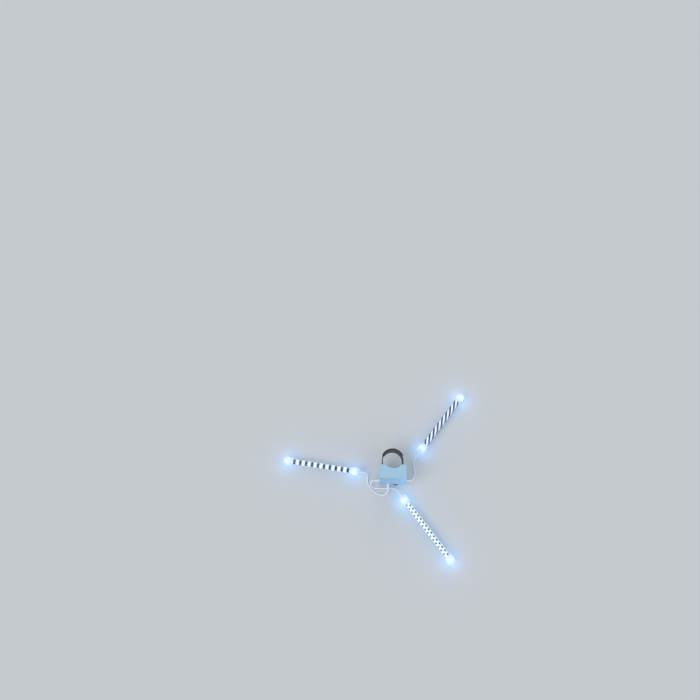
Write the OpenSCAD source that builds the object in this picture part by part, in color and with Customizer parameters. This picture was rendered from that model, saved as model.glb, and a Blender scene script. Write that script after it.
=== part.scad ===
// Spoke wheel light: three lit sticks that clip along the spokes of a bicycle wheel,
// joined by thin leads to one battery pack that is strapped to the hub.
// Millimetres, +Z up along the wheel's axle, origin on the axle at the middle of the hub strap.
// The kit lies on its own spoke clips and on the lower end of the pack.

/* [Light sticks] */
// Length of a stick over both end caps
stick_len = 114; // [106:1:122]
// Outer diameter of the clear tube
tube_od = 9.4; // [9.4:0.2:10.2]
// Wall of the clear tube
tube_wall = 0.4; // [0.4:0.1:0.6]
// Outer diameter of the end caps at their far ends
cap_od = 12; // [11.8:0.2:13]
// Wall of an end cap at its mouth, where the tube goes in
cap_lip = 0.5; // [0.4:0.05:0.6]
// Length of each end cap
cap_len = 14; // [13:0.5:16]
// Depth of the socket that takes the tube
socket_depth = 8; // [7:0.5:9]
// Diameter of the round light-emitting diodes
led_d = 5; // [4.8:0.1:5]

/* [Printed marks] */
// Number of crosswise bars
bar_count = 10; // [6:1:10]
// Distance from one bar to the next
bar_pitch = 8.9; // [7:0.1:8.9]
// Width of a bar along the tube
bar_w = 3.8; // [2:0.2:4.4]
// Half of the angle that a bar covers on each face of the film
bar_half = 51; // [40:1:60]
// Number of diagonal stripes round the tube
stripe_count = 4; // [3:1:6]
// Share of the film that the diagonal stripes cover
stripe_share = 0.46; // [0.35:0.01:0.55]
// Length of tube in which a diagonal stripe goes once round
stripe_lead = 43; // [36:1:60]
// Dots in each of the two columns on a face of the film
dot_rows = 15; // [8:1:15]
// Distance from one row of dots to the next
dot_pitch = 5.8; // [4:0.1:5.8]
// Diameter of a dot
dot_d = 2.6; // [1.6:0.2:3]
// Angle from the middle of a face to each of its two columns of dots
dot_aside = 28; // [24:1:34]

/* [Spoke clips] */
// Diameter of the spoke that the clips hold
spoke_d = 2; // [1.8:0.1:2.3]
// Wall of a clip round the spoke
clip_wall = 1.2; // [1:0.1:1.4]
// Length of a clip along the spoke
clip_len = 8; // [6:0.5:9]
// Free width of the mouth that snaps over the spoke
clip_mouth = 1.5; // [1.2:0.1:1.6]

/* [Battery pack] */
// Diameter of the hub that the pack is strapped to
hub_d = 28; // [27:0.5:29]
// Diameter of a AAA cell
cell_d = 10.5; // [10:0.1:10.5]
// Length of a AAA cell over its terminal
cell_len = 44.5; // [43.5:0.1:44.5]
// Wall of the case
case_wall = 1.6; // [1.4:0.1:2]
// Thickness of the door and of the control cover
lid_t = 1.7; // [1.6:0.1:2]
// Diameter of the power button
button_d = 6.4; // [5.4:0.2:6.4]
// Travel of the power button
button_travel = 0.8; // [0.5:0.1:0.8]

/* [Hub strap] */
// Width of the strap along the hub
strap_w = 20; // [16:1:22]
// Thickness of one layer of the strap
strap_t = 1.2; // [1:0.1:1.3]

/* [Leads] */
// Diameter of the leads
lead_d = 2; // [1.6:0.1:2.2]
// Length of a tapered strain relief outside its wall
relief_len = 6; // [5:0.5:7]

/* [Places on the wheel] */
// Direction of the stick with bars, seen from above
angle_bars = 171.5; // [170:0.5:173]
// Direction of the stick with diagonal stripes
angle_diagonals = 52; // [50:0.5:54]
// Direction of the stick with dots
angle_dots = -52.5; // [-54:0.5:-51]
// Turn of the bars round their stick, from straight up
turn_bars = -9; // [-45:1:45]
// Turn of the dots round their stick, from straight up
turn_dots = 7; // [-45:1:45]

/* [Hidden] */
$fn = 48;
eps = 0.01;
// radial play of pieces that are pushed together
fit = 0.05;
// play between a moving piece and its guide
run = 0.1;

// Sticks: stations along the stick start at the face of the inner cap
// room behind a diode for its legs and the lead's end
cavity_len = 4;
end_wall = cap_len - socket_depth - cavity_len;
tube_ir = tube_od / 2 - tube_wall;
tube_x0 = cap_len - socket_depth;
tube_x1 = stick_len - tube_x0;
cap_r = cap_od / 2;
// round of the inner cap's far edge, and the straight stretch behind it
cap_round = 2;
cap_flat = 2;
cavity_r = tube_ir + 0.1;
socket_r = tube_od / 2 + fit;
mouth_r = socket_r + cap_lip;
holder_len = 4;
holder_r = tube_ir - fit;
led_r = led_d / 2;
led_flange_r = led_r + 0.3;
led_flange_t = 1;
led_h = 7.6;
wire_d = 0.4;
wire_pos = led_flange_r + fit + wire_d / 2;
print_t = 0.15;
print_gap = 0.1;
print_ro = tube_ir - print_gap;
print_ri = print_ro - print_t;
film_t = 0.15;
// leaves room for the flat facets of the wound stripes
film_gap = 0.2;
film_ro = print_ri - film_gap;
film_ri = film_ro - film_t;
film_x0 = tube_x0 + holder_len + 0.2;
film_x1 = stick_len - film_x0;
mark_mid = stick_len / 2;
mark_x0 = cap_len + 0.6;
mark_x1 = stick_len - mark_x0;
stripe_slices = 42;

// Spoke clips, under both caps
spoke_r = spoke_d / 2;
clip_r = spoke_r + clip_wall;
clip_gap = 0.6;
clip_z = -(cap_r + clip_gap + spoke_r);
clip_foot = 0.6;
clip_x_in = 7;
clip_x_out = stick_len - 7;
stick_h = cap_r + clip_gap + 2 * spoke_r + clip_foot;

// Battery pack: cells stand side by side, along the axle
hub_r = hub_d / 2;
pad_t = 1;
trough_r = hub_r + pad_t;
wing_rise = 5;
cell_r = cell_d / 2;
cell_pitch = cell_d + 0.5;
bay_half = 1.5 * cell_pitch + 0.3;
case_half = bay_half + case_wall;
back_y = -(trough_r - wing_rise);
bay_back_y = -(trough_r + case_wall);
cell_y = bay_back_y - cell_r - 0.15;
rim_y = cell_y - cell_r - 0.25;
face_y = rim_y - lid_t;
plate_t = 0.4;
spring_h = 1.5;
bay_len = cell_len + spring_h + 2 * plate_t;
block_t = 3.6;
board_bay = 8.4;
pack_h = case_wall + board_bay + block_t + bay_len + block_t;
floor_z = -pack_h / 2;
board_z0 = floor_z + case_wall;
board_z1 = board_z0 + board_bay;
bay_z0 = board_z1 + block_t;
bay_z1 = bay_z0 + bay_len;
edge_r = 2;
seam = 0.1;
seam_z = board_z1;
post_z_low = board_z1 + block_t / 2;
post_z_top = bay_z1 + block_t / 2;
screw_r = 0.9;
screw_len = 8;
screw_head_r = 1.7;
screw_head_t = 1.2;
screw_seat = 0.8;
lip_t = 0.9;
lip_depth = 1;
seal_w = 0.6;
seal_t = 0.5;
seal_out = 0.7;
case_screw_x = bay_half - 1.5;
case_screw_z = board_z0 + 1.5;
boss_r = 1.95;
boss_len = 8;

// Circuit board, switch and button
board_t = 1;
board_y = bay_back_y - 6;
board_half = 11.5;
board_post_x = 9.8;
board_post_r = 1.2;
switch_w = 4.6;
switch_t = 2;
button_x = 5;
button_z = board_z0 + board_bay / 2;
button_r = button_d / 2;
button_flange_r = button_r + 0.6;
button_flange_t = 0.8;
button_proud = button_travel;
plunger_r = 1.2;
plunger_len = 1.9;

// Leads and strain reliefs
lead_r = lead_d / 2;
relief_neck_r = 1.5;
relief_base_r = 2.2;
relief_tip_r = lead_r + 0.35;
relief_groove_r = lead_r + 0.15;
relief_flange_r = 1.9;
relief_flange_t = 1;
pack_wire_r = 0.4;
side_exit_y = board_y - board_t - pack_wire_r - 0.02;
side_exit_z = board_z1 - 2.2;
front_exit_x = -6;
front_exit_z = board_z1 - 2.6;
lead_sides = 8;

// Strap: two layers that overlap on the far side of the hub
strap_half = strap_w / 2;
bar_r = 1;
strap_eye_r = bar_r + fit + strap_t;
strap_bar_x = hub_r - bar_r - fit;
strap_bar_y = bay_back_y + 0.7 + strap_eye_r + 0.15;
strap_slot = 0.15;
// angles round the hub: where the two halves meet, how far apart, and where the outer one ends
strap_meet = 150;
strap_apart = 2;
strap_ramp = 8;
strap_lap_end = 24;

// Stick places: direction, distance along the spoke and sideways offset of the spoke
stick_place = [[angle_bars, 45.5, 19], [angle_diagonals, 39, -21.5], [angle_dots, 44.5, -17.5]];
stick_z = floor_z + stick_h;

function along(k) = [cos(stick_place[k][0]), sin(stick_place[k][0]), 0];
function across(k) = [-along(k)[1], along(k)[0], 0];
function stick_origin(k) =
    along(k) * stick_place[k][1] + across(k) * stick_place[k][2] + [0, 0, stick_z];
function stick_tip(k) = stick_origin(k) - along(k) * relief_len;

// Lead routes: the exit, hand-placed points, and the end at the stick
lead_z = floor_z + lead_r;
straight = 2;
exit_left = [-(case_half + relief_len), side_exit_y, side_exit_z];
exit_right = [case_half + relief_len, side_exit_y, side_exit_z];
exit_front = [front_exit_x, face_y - relief_len, front_exit_z];
mid_bars = [
    [-7, -40, 5.6], [-9.5, -42.5, 4], [-13, -44, 2], [-17, -43.5, 0.5], [-21.5, -42, 0],
    [-26, -39.5, 0], [-30, -36, 0], [-33, -32, 0], [-35, -27.5, 0], [-36, -23, 1],
    [-36, -19.5, 3], [-36, -16.5, 5.5], [-37.5, -14.3, 7.4]
];
mid_diagonals = [
    [29.5, -23, 6], [32, -20.5, 4], [33.5, -17, 2], [34, -13, 0.5], [34, -9, 0],
    [33.5, -5, 0], [33, -1, 1], [33, 2.5, 3.5], [33.5, 6.5, 6.2]
];
mid_dots = [
    [-29, -25, 6], [-31, -27.5, 4.5], [-31, -30.5, 2.5], [-28.5, -33, 1], [-25, -34, 0],
    [-20, -34, 0], [-15, -34, 0], [-10, -34, 0], [-5, -34, 0.2], [-1, -34, 1.6],
    [2.5, -35, 4], [5.5, -37, 6.6]
];
function route(start, dir, mid, k) = concat(
    [start, start + dir * straight],
    [for (p = mid) [p[0], p[1], lead_z + p[2]]],
    [stick_tip(k) - along(k) * straight, stick_tip(k)]
);
route_bars = route(exit_front, [0, -1, 0], mid_bars, 0);
route_diagonals = route(exit_right, [1, 0, 0], mid_diagonals, 1);
route_dots = route(exit_left, [-1, 0, 0], mid_dots, 2);

function unit(v) = v / norm(v);
function heading(pts, i) =
    unit(pts[min(i + 1, len(pts) - 1)] - pts[max(i - 1, 0)]);
function ring(pts, i, r) =
    let (t = heading(pts, i), side = unit(cross([0, 0, 1], t)), up = cross(t, side))
    [for (j = [0 : lead_sides - 1])
        let (a = 360 * j / lead_sides) pts[i] + side * r * cos(a) + up * r * sin(a)];

// Cross-section of a printed stripe at x, centred on angle a
function stripe_ring(x, a, steps) = concat(
    [for (d = steps) [x, print_ro * cos(a + d), print_ro * sin(a + d)]],
    [for (d = -steps) [x, print_ri * cos(a + d), print_ri * sin(a + d)]]
);

// Triangles of a solid swept through n rings of s points
function sweep_faces(n, s) = concat(
    [[for (j = [0 : s - 1]) j]],
    [for (i = [0 : n - 2], j = [0 : s - 1]) [i * s + j, (i + 1) * s + j, (i + 1) * s + (j + 1) % s]],
    [for (i = [0 : n - 2], j = [0 : s - 1]) [i * s + j, (i + 1) * s + (j + 1) % s, i * s + (j + 1) % s]],
    [[for (j = [s - 1 : -1 : 0]) (n - 1) * s + j]]
);

clear_color = [0.85, 0.93, 1, 0.4];
film_color = [0.95, 0.97, 1];
ink_color = [0.06, 0.08, 0.3];
cap_color = [0.9, 0.95, 1];
case_color = [0.6, 0.76, 0.88];
rubber_color = [0.12, 0.13, 0.15];
strap_color = [0.1, 0.1, 0.12];
metal_color = [0.75, 0.76, 0.78];
board_color = [0.1, 0.35, 0.2];
lead_color = [0.88, 0.9, 0.93];
cell_color = [0.2, 0.35, 0.6];
resistor_color = [0.8, 0.7, 0.5];
wire_color = [0.7, 0.12, 0.1];

// Turns a shape that stands on its own Z axis so that it lies along +X
module along_x() {
    rotate([0, 90, 0]) children();
}

// Puts a stick drawn along +X into its place on the wheel
module on_stick(k) {
    translate(stick_origin(k)) rotate([0, 0, stick_place[k][0]]) children();
}

// Mirrors a piece of the inner end to the outer end of a stick
module at_outer_end() {
    translate([stick_len, 0, 0]) mirror([1, 0, 0]) children();
}

// Extrudes a flat shape drawn in X and Z towards -Y, starting at y
module front_extrude(y, h) {
    translate([0, y, 0]) rotate([90, 0, 0]) linear_extrude(h) children();
}

// Cylinder along -Y from y
module front_cyl(x, y, z, r, h) {
    translate([x, y, z]) rotate([90, 0, 0]) cylinder(r = r, h = h);
}

// Rectangle with rounded corners
module round_rect(x0, y0, x1, y1, r) {
    translate([x0 + r, y0]) square([x1 - x0 - 2 * r, y1 - y0]);
    translate([x0, y0 + r]) square([x1 - x0, y1 - y0 - 2 * r]);
    for (x = [x0 + r, x1 - r], y = [y0 + r, y1 - r]) translate([x, y]) circle(r);
}

// Tube between two radii from x0 to x1 along the stick
module shell(x0, x1, ri, ro) {
    translate([x0, 0, 0]) along_x() difference() {
        cylinder(r = ro, h = x1 - x0);
        translate([0, 0, -1]) cylinder(r = ri, h = x1 - x0 + 2);
    }
}

// Clear tube with a light at each end
module tube() {
    color(clear_color) shell(tube_x0, tube_x1, tube_ir, tube_od / 2);
}

// Rolled white film that spreads the light inside the tube
module film() {
    color(film_color) shell(film_x0, film_x1, film_ri, film_ro);
}

// Dark bars printed across both faces of the film
module bars() {
    first = mark_mid - ((bar_count - 1) * bar_pitch + bar_w) / 2;
    color(ink_color) for (i = [0 : bar_count - 1], face = [0, 180])
        translate([first + i * bar_pitch, 0, 0]) along_x() rotate([0, 0, face - bar_half])
            rotate_extrude(angle = 2 * bar_half) translate([print_ri, 0]) square([print_t, bar_w]);
}

// Solid swept through a list of rings
module sweep(rings) {
    polyhedron(
        points = [for (r = rings) each r],
        faces = sweep_faces(len(rings), len(rings[0]))
    );
}

// Dark stripes that wind round the film
module stripes() {
    half = 180 * stripe_share / stripe_count;
    steps = [-half, -half / 2, 0, half / 2, half];
    step_x = (mark_x1 - mark_x0) / stripe_slices;
    color(ink_color) for (i = [0 : stripe_count - 1])
        sweep([for (n = [0 : stripe_slices]) stripe_ring(
            mark_x0 + n * step_x, 360 * i / stripe_count - 360 * n * step_x / stripe_lead, steps)]);
}

// Dark dots: two columns on each face of the film, shifted by half a pitch
module dots() {
    color(ink_color) intersection() {
        shell(cap_len - 1, stick_len - cap_len + 1, print_ri, print_ro);
        for (face = [0, 180], side = [-1, 1], i = [0 : dot_rows - 1])
            translate([mark_mid + (i - (dot_rows - 1) / 2 - side / 4) * dot_pitch, 0, 0])
                rotate([face + side * dot_aside, 0, 0]) cylinder(r = dot_d / 2, h = tube_od, $fn = 24);
    }
}

// Snap clip for the spoke, with flat lips that the stick stands on
module spoke_clip(x) {
    neck_w = 3;
    lip = 1.8;
    translate([x - clip_len / 2, 0, clip_z]) difference() {
        union() {
            along_x() cylinder(r = clip_r, h = clip_len);
            translate([0, -neck_w / 2, 0]) cube([clip_len, neck_w, clip_gap + spoke_r + 1.2]);
        }
        translate([-1, 0, 0]) along_x() cylinder(r = spoke_r, h = clip_len + 2);
        translate([-1, -clip_mouth / 2, -clip_r - 1]) cube([clip_len + 2, clip_mouth, clip_r + 1]);
        translate([-1, 0, 0]) rotate([90, 0, 90]) linear_extrude(clip_len + 2) polygon([
            [-clip_mouth / 2, -spoke_r], [clip_mouth / 2, -spoke_r],
            [lip, -clip_r - 0.2], [-lip, -clip_r - 0.2]
        ]);
        translate([-1, -clip_r - 1, -spoke_r - clip_foot - 5]) cube([clip_len + 2, 2 * clip_r + 2, 5]);
    }
}

// Inner cap: takes the tube, the diode and the lead
module inner_cap() {
    color(cap_color) {
        difference() {
            union() {
                along_x() rotate_extrude() {
                    polygon([
                        [0, 0], [cap_r - cap_round, 0], [cap_r - cap_round, cap_round],
                        [cap_r, cap_round], [cap_r, cap_round + cap_flat],
                        [mouth_r, cap_len], [0, cap_len]
                    ]);
                    translate([cap_r - cap_round, cap_round]) circle(cap_round);
                }
                spoke_clip(clip_x_in);
            }
            translate([end_wall, 0, 0]) along_x() cylinder(r = cavity_r, h = cap_len);
            translate([tube_x0, 0, 0]) along_x() cylinder(r = socket_r, h = cap_len);
            translate([-1, 0, 0]) along_x() cylinder(r = relief_neck_r + fit, h = end_wall + 2);
        }
    }
}

// Half outline of a rod that widens from r0 at z0 to r at z1 and ends in a round dome
module dome_profile(r0, r, z0, z1) {
    polygon([[0, z0], [r0, z0], [r, z1], [0, z1]]);
    translate([0, z1]) intersection() {
        circle(r);
        square(r + 1);
    }
}

// Outer cap: the same socket under a round lens
module outer_cap() {
    x0 = stick_len - cap_len;
    straight_len = cap_len - cap_r;
    color(cap_color) difference() {
        union() {
            translate([x0, 0, 0]) along_x() rotate_extrude()
                dome_profile(mouth_r, cap_r, 0, straight_len);
            spoke_clip(clip_x_out);
        }
        translate([x0 - 1, 0, 0]) along_x() cylinder(r = socket_r, h = socket_depth + 1);
        translate([x0, 0, 0]) along_x() rotate_extrude()
            dome_profile(tube_ir, tube_ir, socket_depth - 1, max(straight_len, socket_depth));
    }
}

// Round diode that shines along the tube
module led() {
    color(clear_color) translate([tube_x0 - led_flange_t, 0, 0]) along_x() {
        cylinder(r = led_flange_r, h = led_flange_t);
        cylinder(r = led_r, h = led_flange_t + led_h - led_r);
        translate([0, 0, led_flange_t + led_h - led_r]) sphere(led_r);
    }
}

// Ring that centres the diode in the tube, notched for the wires
module led_holder() {
    color(film_color) difference() {
        shell(tube_x0, tube_x0 + holder_len, led_r + fit, holder_r);
        for (s = [-1, 1]) translate([tube_x0 - 1, 0, 0]) rotate([s * 35, 0, 0])
            translate([0, 0, -wire_pos]) along_x()
                cylinder(r = wire_d / 2 + fit, h = holder_len + 2, $fn = 24);
    }
}

// Pair of thin wires to the outer diode, and the legs of both diodes
module wires() {
    leg = 1.27;
    leg_r = 0.25;
    outer_leg = 1.9;
    solder = 0.6;
    foot = tube_x0 - led_flange_t;
    start = end_wall + relief_flange_t + run;
    color(metal_color) for (s = [-1, 1]) {
        rotate([s * 35, 0, 0]) translate([start, 0, -wire_pos])
            along_x() cylinder(r = wire_d / 2, h = stick_len - foot + solder - start, $fn = 24);
        translate([start, s * leg, 0]) along_x() cylinder(r = leg_r, h = foot - start, $fn = 24);
        translate([stick_len - foot, s * leg, 0]) along_x() cylinder(r = leg_r, h = outer_leg, $fn = 24);
    }
}

// Tapered strain relief on its own Z axis, grooved so that it bends: Z = 0 is the outer face of the wall
module relief(wall) {
    collar = 0.8;
    grooves = 4;
    pitch = (relief_len - collar) / (grooves + 0.5);
    color(lead_color) rotate_extrude() difference() {
        polygon([
            [0, -relief_len], [relief_tip_r, -relief_len], [relief_base_r, -collar], [relief_base_r, 0],
            [relief_neck_r, 0], [relief_neck_r, wall], [relief_flange_r, wall],
            [relief_flange_r, wall + relief_flange_t], [0, wall + relief_flange_t]
        ]);
        for (i = [1 : grooves]) translate([relief_groove_r, -collar - i * pitch])
            square([relief_base_r, pitch / 2]);
    }
}

// Lead swept along its own route points
module lead(pts) {
    color(lead_color) sweep([for (i = [0 : len(pts) - 1]) ring(pts, i, lead_r)]);
}

// Stick with bars
module tube_bars() { on_stick(0) tube(); }
module film_bars() { on_stick(0) film(); }
module print_bars() { on_stick(0) rotate([turn_bars, 0, 0]) bars(); }
module outer_cap_bars() { on_stick(0) outer_cap(); }
module inner_cap_bars() { on_stick(0) inner_cap(); }
module outer_led_bars() { on_stick(0) at_outer_end() led(); }
module inner_led_bars() { on_stick(0) led(); }
module outer_holder_bars() { on_stick(0) at_outer_end() led_holder(); }
module inner_holder_bars() { on_stick(0) led_holder(); }
module wires_bars() { on_stick(0) wires(); }
module relief_bars() { on_stick(0) along_x() relief(end_wall); }
module lead_bars() { lead(route_bars); }

// Stick with diagonal stripes
module tube_diagonals() { on_stick(1) tube(); }
module film_diagonals() { on_stick(1) film(); }
module print_diagonals() { on_stick(1) stripes(); }
module outer_cap_diagonals() { on_stick(1) outer_cap(); }
module inner_cap_diagonals() { on_stick(1) inner_cap(); }
module outer_led_diagonals() { on_stick(1) at_outer_end() led(); }
module inner_led_diagonals() { on_stick(1) led(); }
module outer_holder_diagonals() { on_stick(1) at_outer_end() led_holder(); }
module inner_holder_diagonals() { on_stick(1) led_holder(); }
module wires_diagonals() { on_stick(1) wires(); }
module relief_diagonals() { on_stick(1) along_x() relief(end_wall); }
module lead_diagonals() { lead(route_diagonals); }

// Stick with dots
module tube_dots() { on_stick(2) tube(); }
module film_dots() { on_stick(2) film(); }
module print_dots() { on_stick(2) rotate([turn_dots, 0, 0]) dots(); }
module outer_cap_dots() { on_stick(2) outer_cap(); }
module inner_cap_dots() { on_stick(2) inner_cap(); }
module outer_led_dots() { on_stick(2) at_outer_end() led(); }
module inner_led_dots() { on_stick(2) led(); }
module outer_holder_dots() { on_stick(2) at_outer_end() led_holder(); }
module inner_holder_dots() { on_stick(2) led_holder(); }
module wires_dots() { on_stick(2) wires(); }
module relief_dots() { on_stick(2) along_x() relief(end_wall); }
module lead_dots() { lead(route_dots); }

// Outline of the case seen from above, open towards the door
module case_outline() {
    difference() {
        round_rect(-case_half, rim_y - 5, case_half, back_y, edge_r);
        translate([-case_half - 1, rim_y - 6]) square([2 * case_half + 2, 6]);
    }
}

// Space round one bar of the strap, open towards the hub
module strap_cut(s) {
    r = strap_eye_r + strap_slot;
    leg_in = hub_r - strap_slot;
    leg_out = hub_r + strap_t + strap_slot;
    h = strap_w + 1;
    translate([s * strap_bar_x, strap_bar_y, -h / 2]) cylinder(r = r, h = h);
    translate([s > 0 ? leg_in : -leg_out, strap_bar_y, -h / 2])
        cube([leg_out - leg_in, 20, h]);
}

// Deep tub of the pack: trough for the hub, cell bay, board bay, posts and strap bars
module pack_base() {
    color(case_color) union() {
        difference() {
            intersection() {
                translate([0, 0, floor_z]) linear_extrude(pack_h) case_outline();
                translate([-case_half - 1, 0, 0]) rotate([90, 0, 90]) linear_extrude(2 * case_half + 2)
                    round_rect(rim_y - 5, floor_z, back_y, -floor_z, edge_r);
            }
            translate([0, 0, floor_z - 1]) cylinder(r = trough_r, h = pack_h + 2);
            translate([-bay_half, rim_y - 1, bay_z0]) cube([2 * bay_half, bay_back_y - rim_y + 1, bay_len]);
            difference() {
                translate([-bay_half, rim_y - 1, board_z0])
                    cube([2 * bay_half, bay_back_y - rim_y + 1, board_bay]);
                for (s = [-1, 1]) {
                    front_cyl(s * case_screw_x, rim_y + boss_len, case_screw_z, boss_r, boss_len + 2);
                    front_cyl(s * board_post_x, bay_back_y + 1, case_screw_z,
                        board_post_r, bay_back_y - board_y + 1);
                }
            }
            for (s = [-1, 1]) {
                front_cyl(s * case_screw_x, rim_y + boss_len - 1, case_screw_z, screw_r + fit, boss_len);
                translate([s * (case_half + 1), side_exit_y, side_exit_z]) rotate([0, -s * 90, 0])
                    cylinder(r = relief_neck_r + fit, h = case_wall + 2);
                translate([s * (bay_half - 0.7), bay_back_y - 0.7, board_z1 - 1])
                    cylinder(r = pack_wire_r + run, h = block_t + 2);
                strap_cut(s);
            }
            for (z = [post_z_low, post_z_top])
                front_cyl(0, rim_y + screw_len, z, screw_r + run, screw_len + 1);
        }
        for (s = [-1, 1])
            translate([s * strap_bar_x, strap_bar_y, -strap_half - 1]) cylinder(r = bar_r, h = strap_w + 2);
    }
}

// Screw on the front of the pack with a cross recess, its head standing on y
module front_screw(x, y, z, shank) {
    recess = 0.6;
    color(metal_color) difference() {
        union() {
            front_cyl(x, y, z, screw_head_r, screw_head_t);
            front_cyl(x, y + shank, z, screw_r, shank + eps);
        }
        for (a = [0, 90]) translate([x, y - screw_head_t, z]) rotate([0, a, 0])
            cube([2 * screw_head_r - 1, 2 * recess, 0.5], center = true);
    }
}

// Cover over the circuit board, with the button hole and one lead exit
module control_cover() {
    color(case_color) difference() {
        front_extrude(rim_y, lid_t) round_rect(-case_half, floor_z, case_half, seam_z - seam, edge_r);
        front_cyl(button_x, rim_y + 1, button_z, button_r + run, lid_t + 2);
        front_cyl(front_exit_x, rim_y + 1, front_exit_z, relief_neck_r + fit, lid_t + 2);
        for (s = [-1, 1]) {
            front_cyl(s * case_screw_x, rim_y + 1, case_screw_z, screw_r + fit, lid_t + 2);
            front_cyl(s * case_screw_x, face_y + screw_seat, case_screw_z, screw_head_r + run, 3);
        }
    }
}

module case_screws() {
    for (s = [-1, 1]) front_screw(s * case_screw_x, face_y + screw_seat, case_screw_z, screw_len - 2);
}

// Door over the cells, with side lips and a groove for the seal
module battery_door() {
    z0 = bay_z0 + 1;
    color(case_color) difference() {
        union() {
            front_extrude(rim_y, lid_t) round_rect(-case_half, seam_z + seam, case_half, -floor_z, edge_r);
            for (s = [-1, 1]) translate([s * (bay_half - 0.25 - lip_t / 2) - lip_t / 2, rim_y - eps, z0])
                cube([lip_t, lip_depth + eps, bay_len - 2]);
            for (i = [-2 : 2]) translate([-6, face_y - 0.4, seam_z + 7 + i * 1.6]) cube([12, 0.5, 0.8]);
        }
        front_extrude(rim_y + eps, seal_t + fit) seal_outline(fit);
        for (z = [post_z_low, post_z_top]) {
            front_cyl(0, rim_y + 1, z, screw_r + run, lid_t + 2);
            front_cyl(0, face_y + screw_seat, z, screw_head_r + run, 3);
        }
    }
}

// Frame-shaped outline of the door seal, grown by g on both sides
module seal_outline(g) {
    x1 = bay_half + case_wall / 2 + seal_w / 2;
    z0 = bay_z0 - seal_out;
    z1 = bay_z1 + seal_out;
    difference() {
        translate([-x1 - g, z0 - g]) square([2 * (x1 + g), z1 - z0 + 2 * g]);
        translate([-x1 + seal_w + g, z0 + seal_w + g])
            square([2 * (x1 - seal_w - g), z1 - z0 - 2 * seal_w - 2 * g]);
    }
}

module door_seal() {
    color(rubber_color) front_extrude(rim_y, seal_t) seal_outline(0);
}

module door_screw_low() {
    front_screw(0, face_y + screw_seat, post_z_low, screw_len - 1);
}

module door_screw_top() {
    front_screw(0, face_y + screw_seat, post_z_top, screw_len - 1);
}

// AAA cell, terminal up or down
module cell(x, up) {
    nub_r = 1.9;
    nub_h = 0.9;
    can = cell_len - nub_h;
    z = up ? bay_z0 + plate_t + spring_h : bay_z1 - plate_t - spring_h;
    color(cell_color) translate([x, cell_y, z]) mirror([0, 0, up ? 0 : 1]) rotate_extrude() polygon([
        [0, 0], [cell_r - 0.4, 0], [cell_r, 0.4], [cell_r, can - 0.6], [cell_r - 0.6, can],
        [nub_r, can], [nub_r, cell_len], [0, cell_len]
    ]);
}

module cell_left() { cell(-cell_pitch, true); }
module cell_middle() { cell(0, false); }
module cell_right() { cell(cell_pitch, true); }

// Contact plates: two that bridge a pair of cells, two for a single cell
module contact_plates() {
    w = 9;
    deep = 8.6;
    color(metal_color) {
        for (p = [[-1, -1, 0], [0, 1, 0], [-1, 0, 1], [1, 1, 1]])
            translate([p[0] * cell_pitch - w / 2, cell_y - deep / 2, p[2] > 0 ? bay_z1 - plate_t : bay_z0])
                cube([(p[1] - p[0]) * cell_pitch + w, deep, plate_t]);
    }
}

// Bent leaf springs at the flat ends of the cells
module contact_springs() {
    leaf = 0.3;
    w = 4;
    half = 3;
    color(metal_color) for (i = [-1 : 1]) {
        up = i != 0;
        z = up ? bay_z0 + plate_t : bay_z1 - plate_t;
        translate([i * cell_pitch, cell_y + w / 2, z]) mirror([0, 0, up ? 0 : 1]) rotate([90, 0, 0])
            linear_extrude(w) polygon([
                [-half, 0], [-half + 1, 0], [0, spring_h - leaf], [half - 1, 0], [half, 0],
                [half, leaf], [half - 0.9, leaf], [0.4, spring_h], [-0.4, spring_h],
                [-half + 0.9, leaf], [-half, leaf]
            ]);
    }
}

module circuit_board() {
    color(board_color) translate([-board_half, board_y - board_t, board_z0 + 0.4])
        cube([2 * board_half, board_t, board_bay - 0.8]);
}

// One resistor for each stick, behind the board
module resistors() {
    r = 0.8;
    color(resistor_color) for (i = [-1 : 1])
        translate([-2, board_y + r, button_z + i * 2.2]) along_x() cylinder(r = r, h = 4, $fn = 24);
}

// Wires inside the pack: from the cells to the board and from the board to the leads
module pack_wires() {
    r = pack_wire_r;
    x = bay_half - 0.7;
    y = bay_back_y - 0.7;
    z = button_z + 1.7;
    turn_x = board_half - 1;
    color(wire_color) {
        for (s = [-1, 1]) {
            top = s > 0 ? bay_z1 - plate_t : bay_z0;
            translate([s * x, y, z]) cylinder(r = r, h = top - z, $fn = 24);
            translate([s * x, y, z]) sphere(r, $fn = 24);
            translate([s * turn_x, y, z]) rotate([0, s * 90, 0]) cylinder(r = r, h = x - turn_x, $fn = 24);
            translate([s * turn_x, y, z]) sphere(r, $fn = 24);
            front_cyl(s * turn_x, y, z, r, y - board_y, $fn = 24);
            for (d = [-0.6, 0.6])
                translate([s * (board_half - 2), side_exit_y, side_exit_z + d]) rotate([0, s * 90, 0])
                    cylinder(r = r, h = bay_half - relief_flange_t - board_half + 2, $fn = 24);
        }
        for (d = [-0.6, 0.6])
            front_cyl(front_exit_x + d, board_y - board_t, front_exit_z, r,
                board_y - board_t - rim_y - relief_flange_t, $fn = 24);
    }
}

// Small push switch behind the button
module switch_body() {
    color(rubber_color) difference() {
        translate([button_x - switch_w / 2, board_y - board_t - switch_t, button_z - switch_w / 2])
            cube([switch_w, switch_t, switch_w]);
        front_cyl(button_x, board_y - board_t - 0.1, button_z, plunger_r + run, switch_t);
    }
}

module switch_plunger() {
    y = rim_y + run + button_flange_t;
    color(cap_color) front_cyl(button_x, y + plunger_len, button_z, plunger_r, plunger_len);
}

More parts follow.
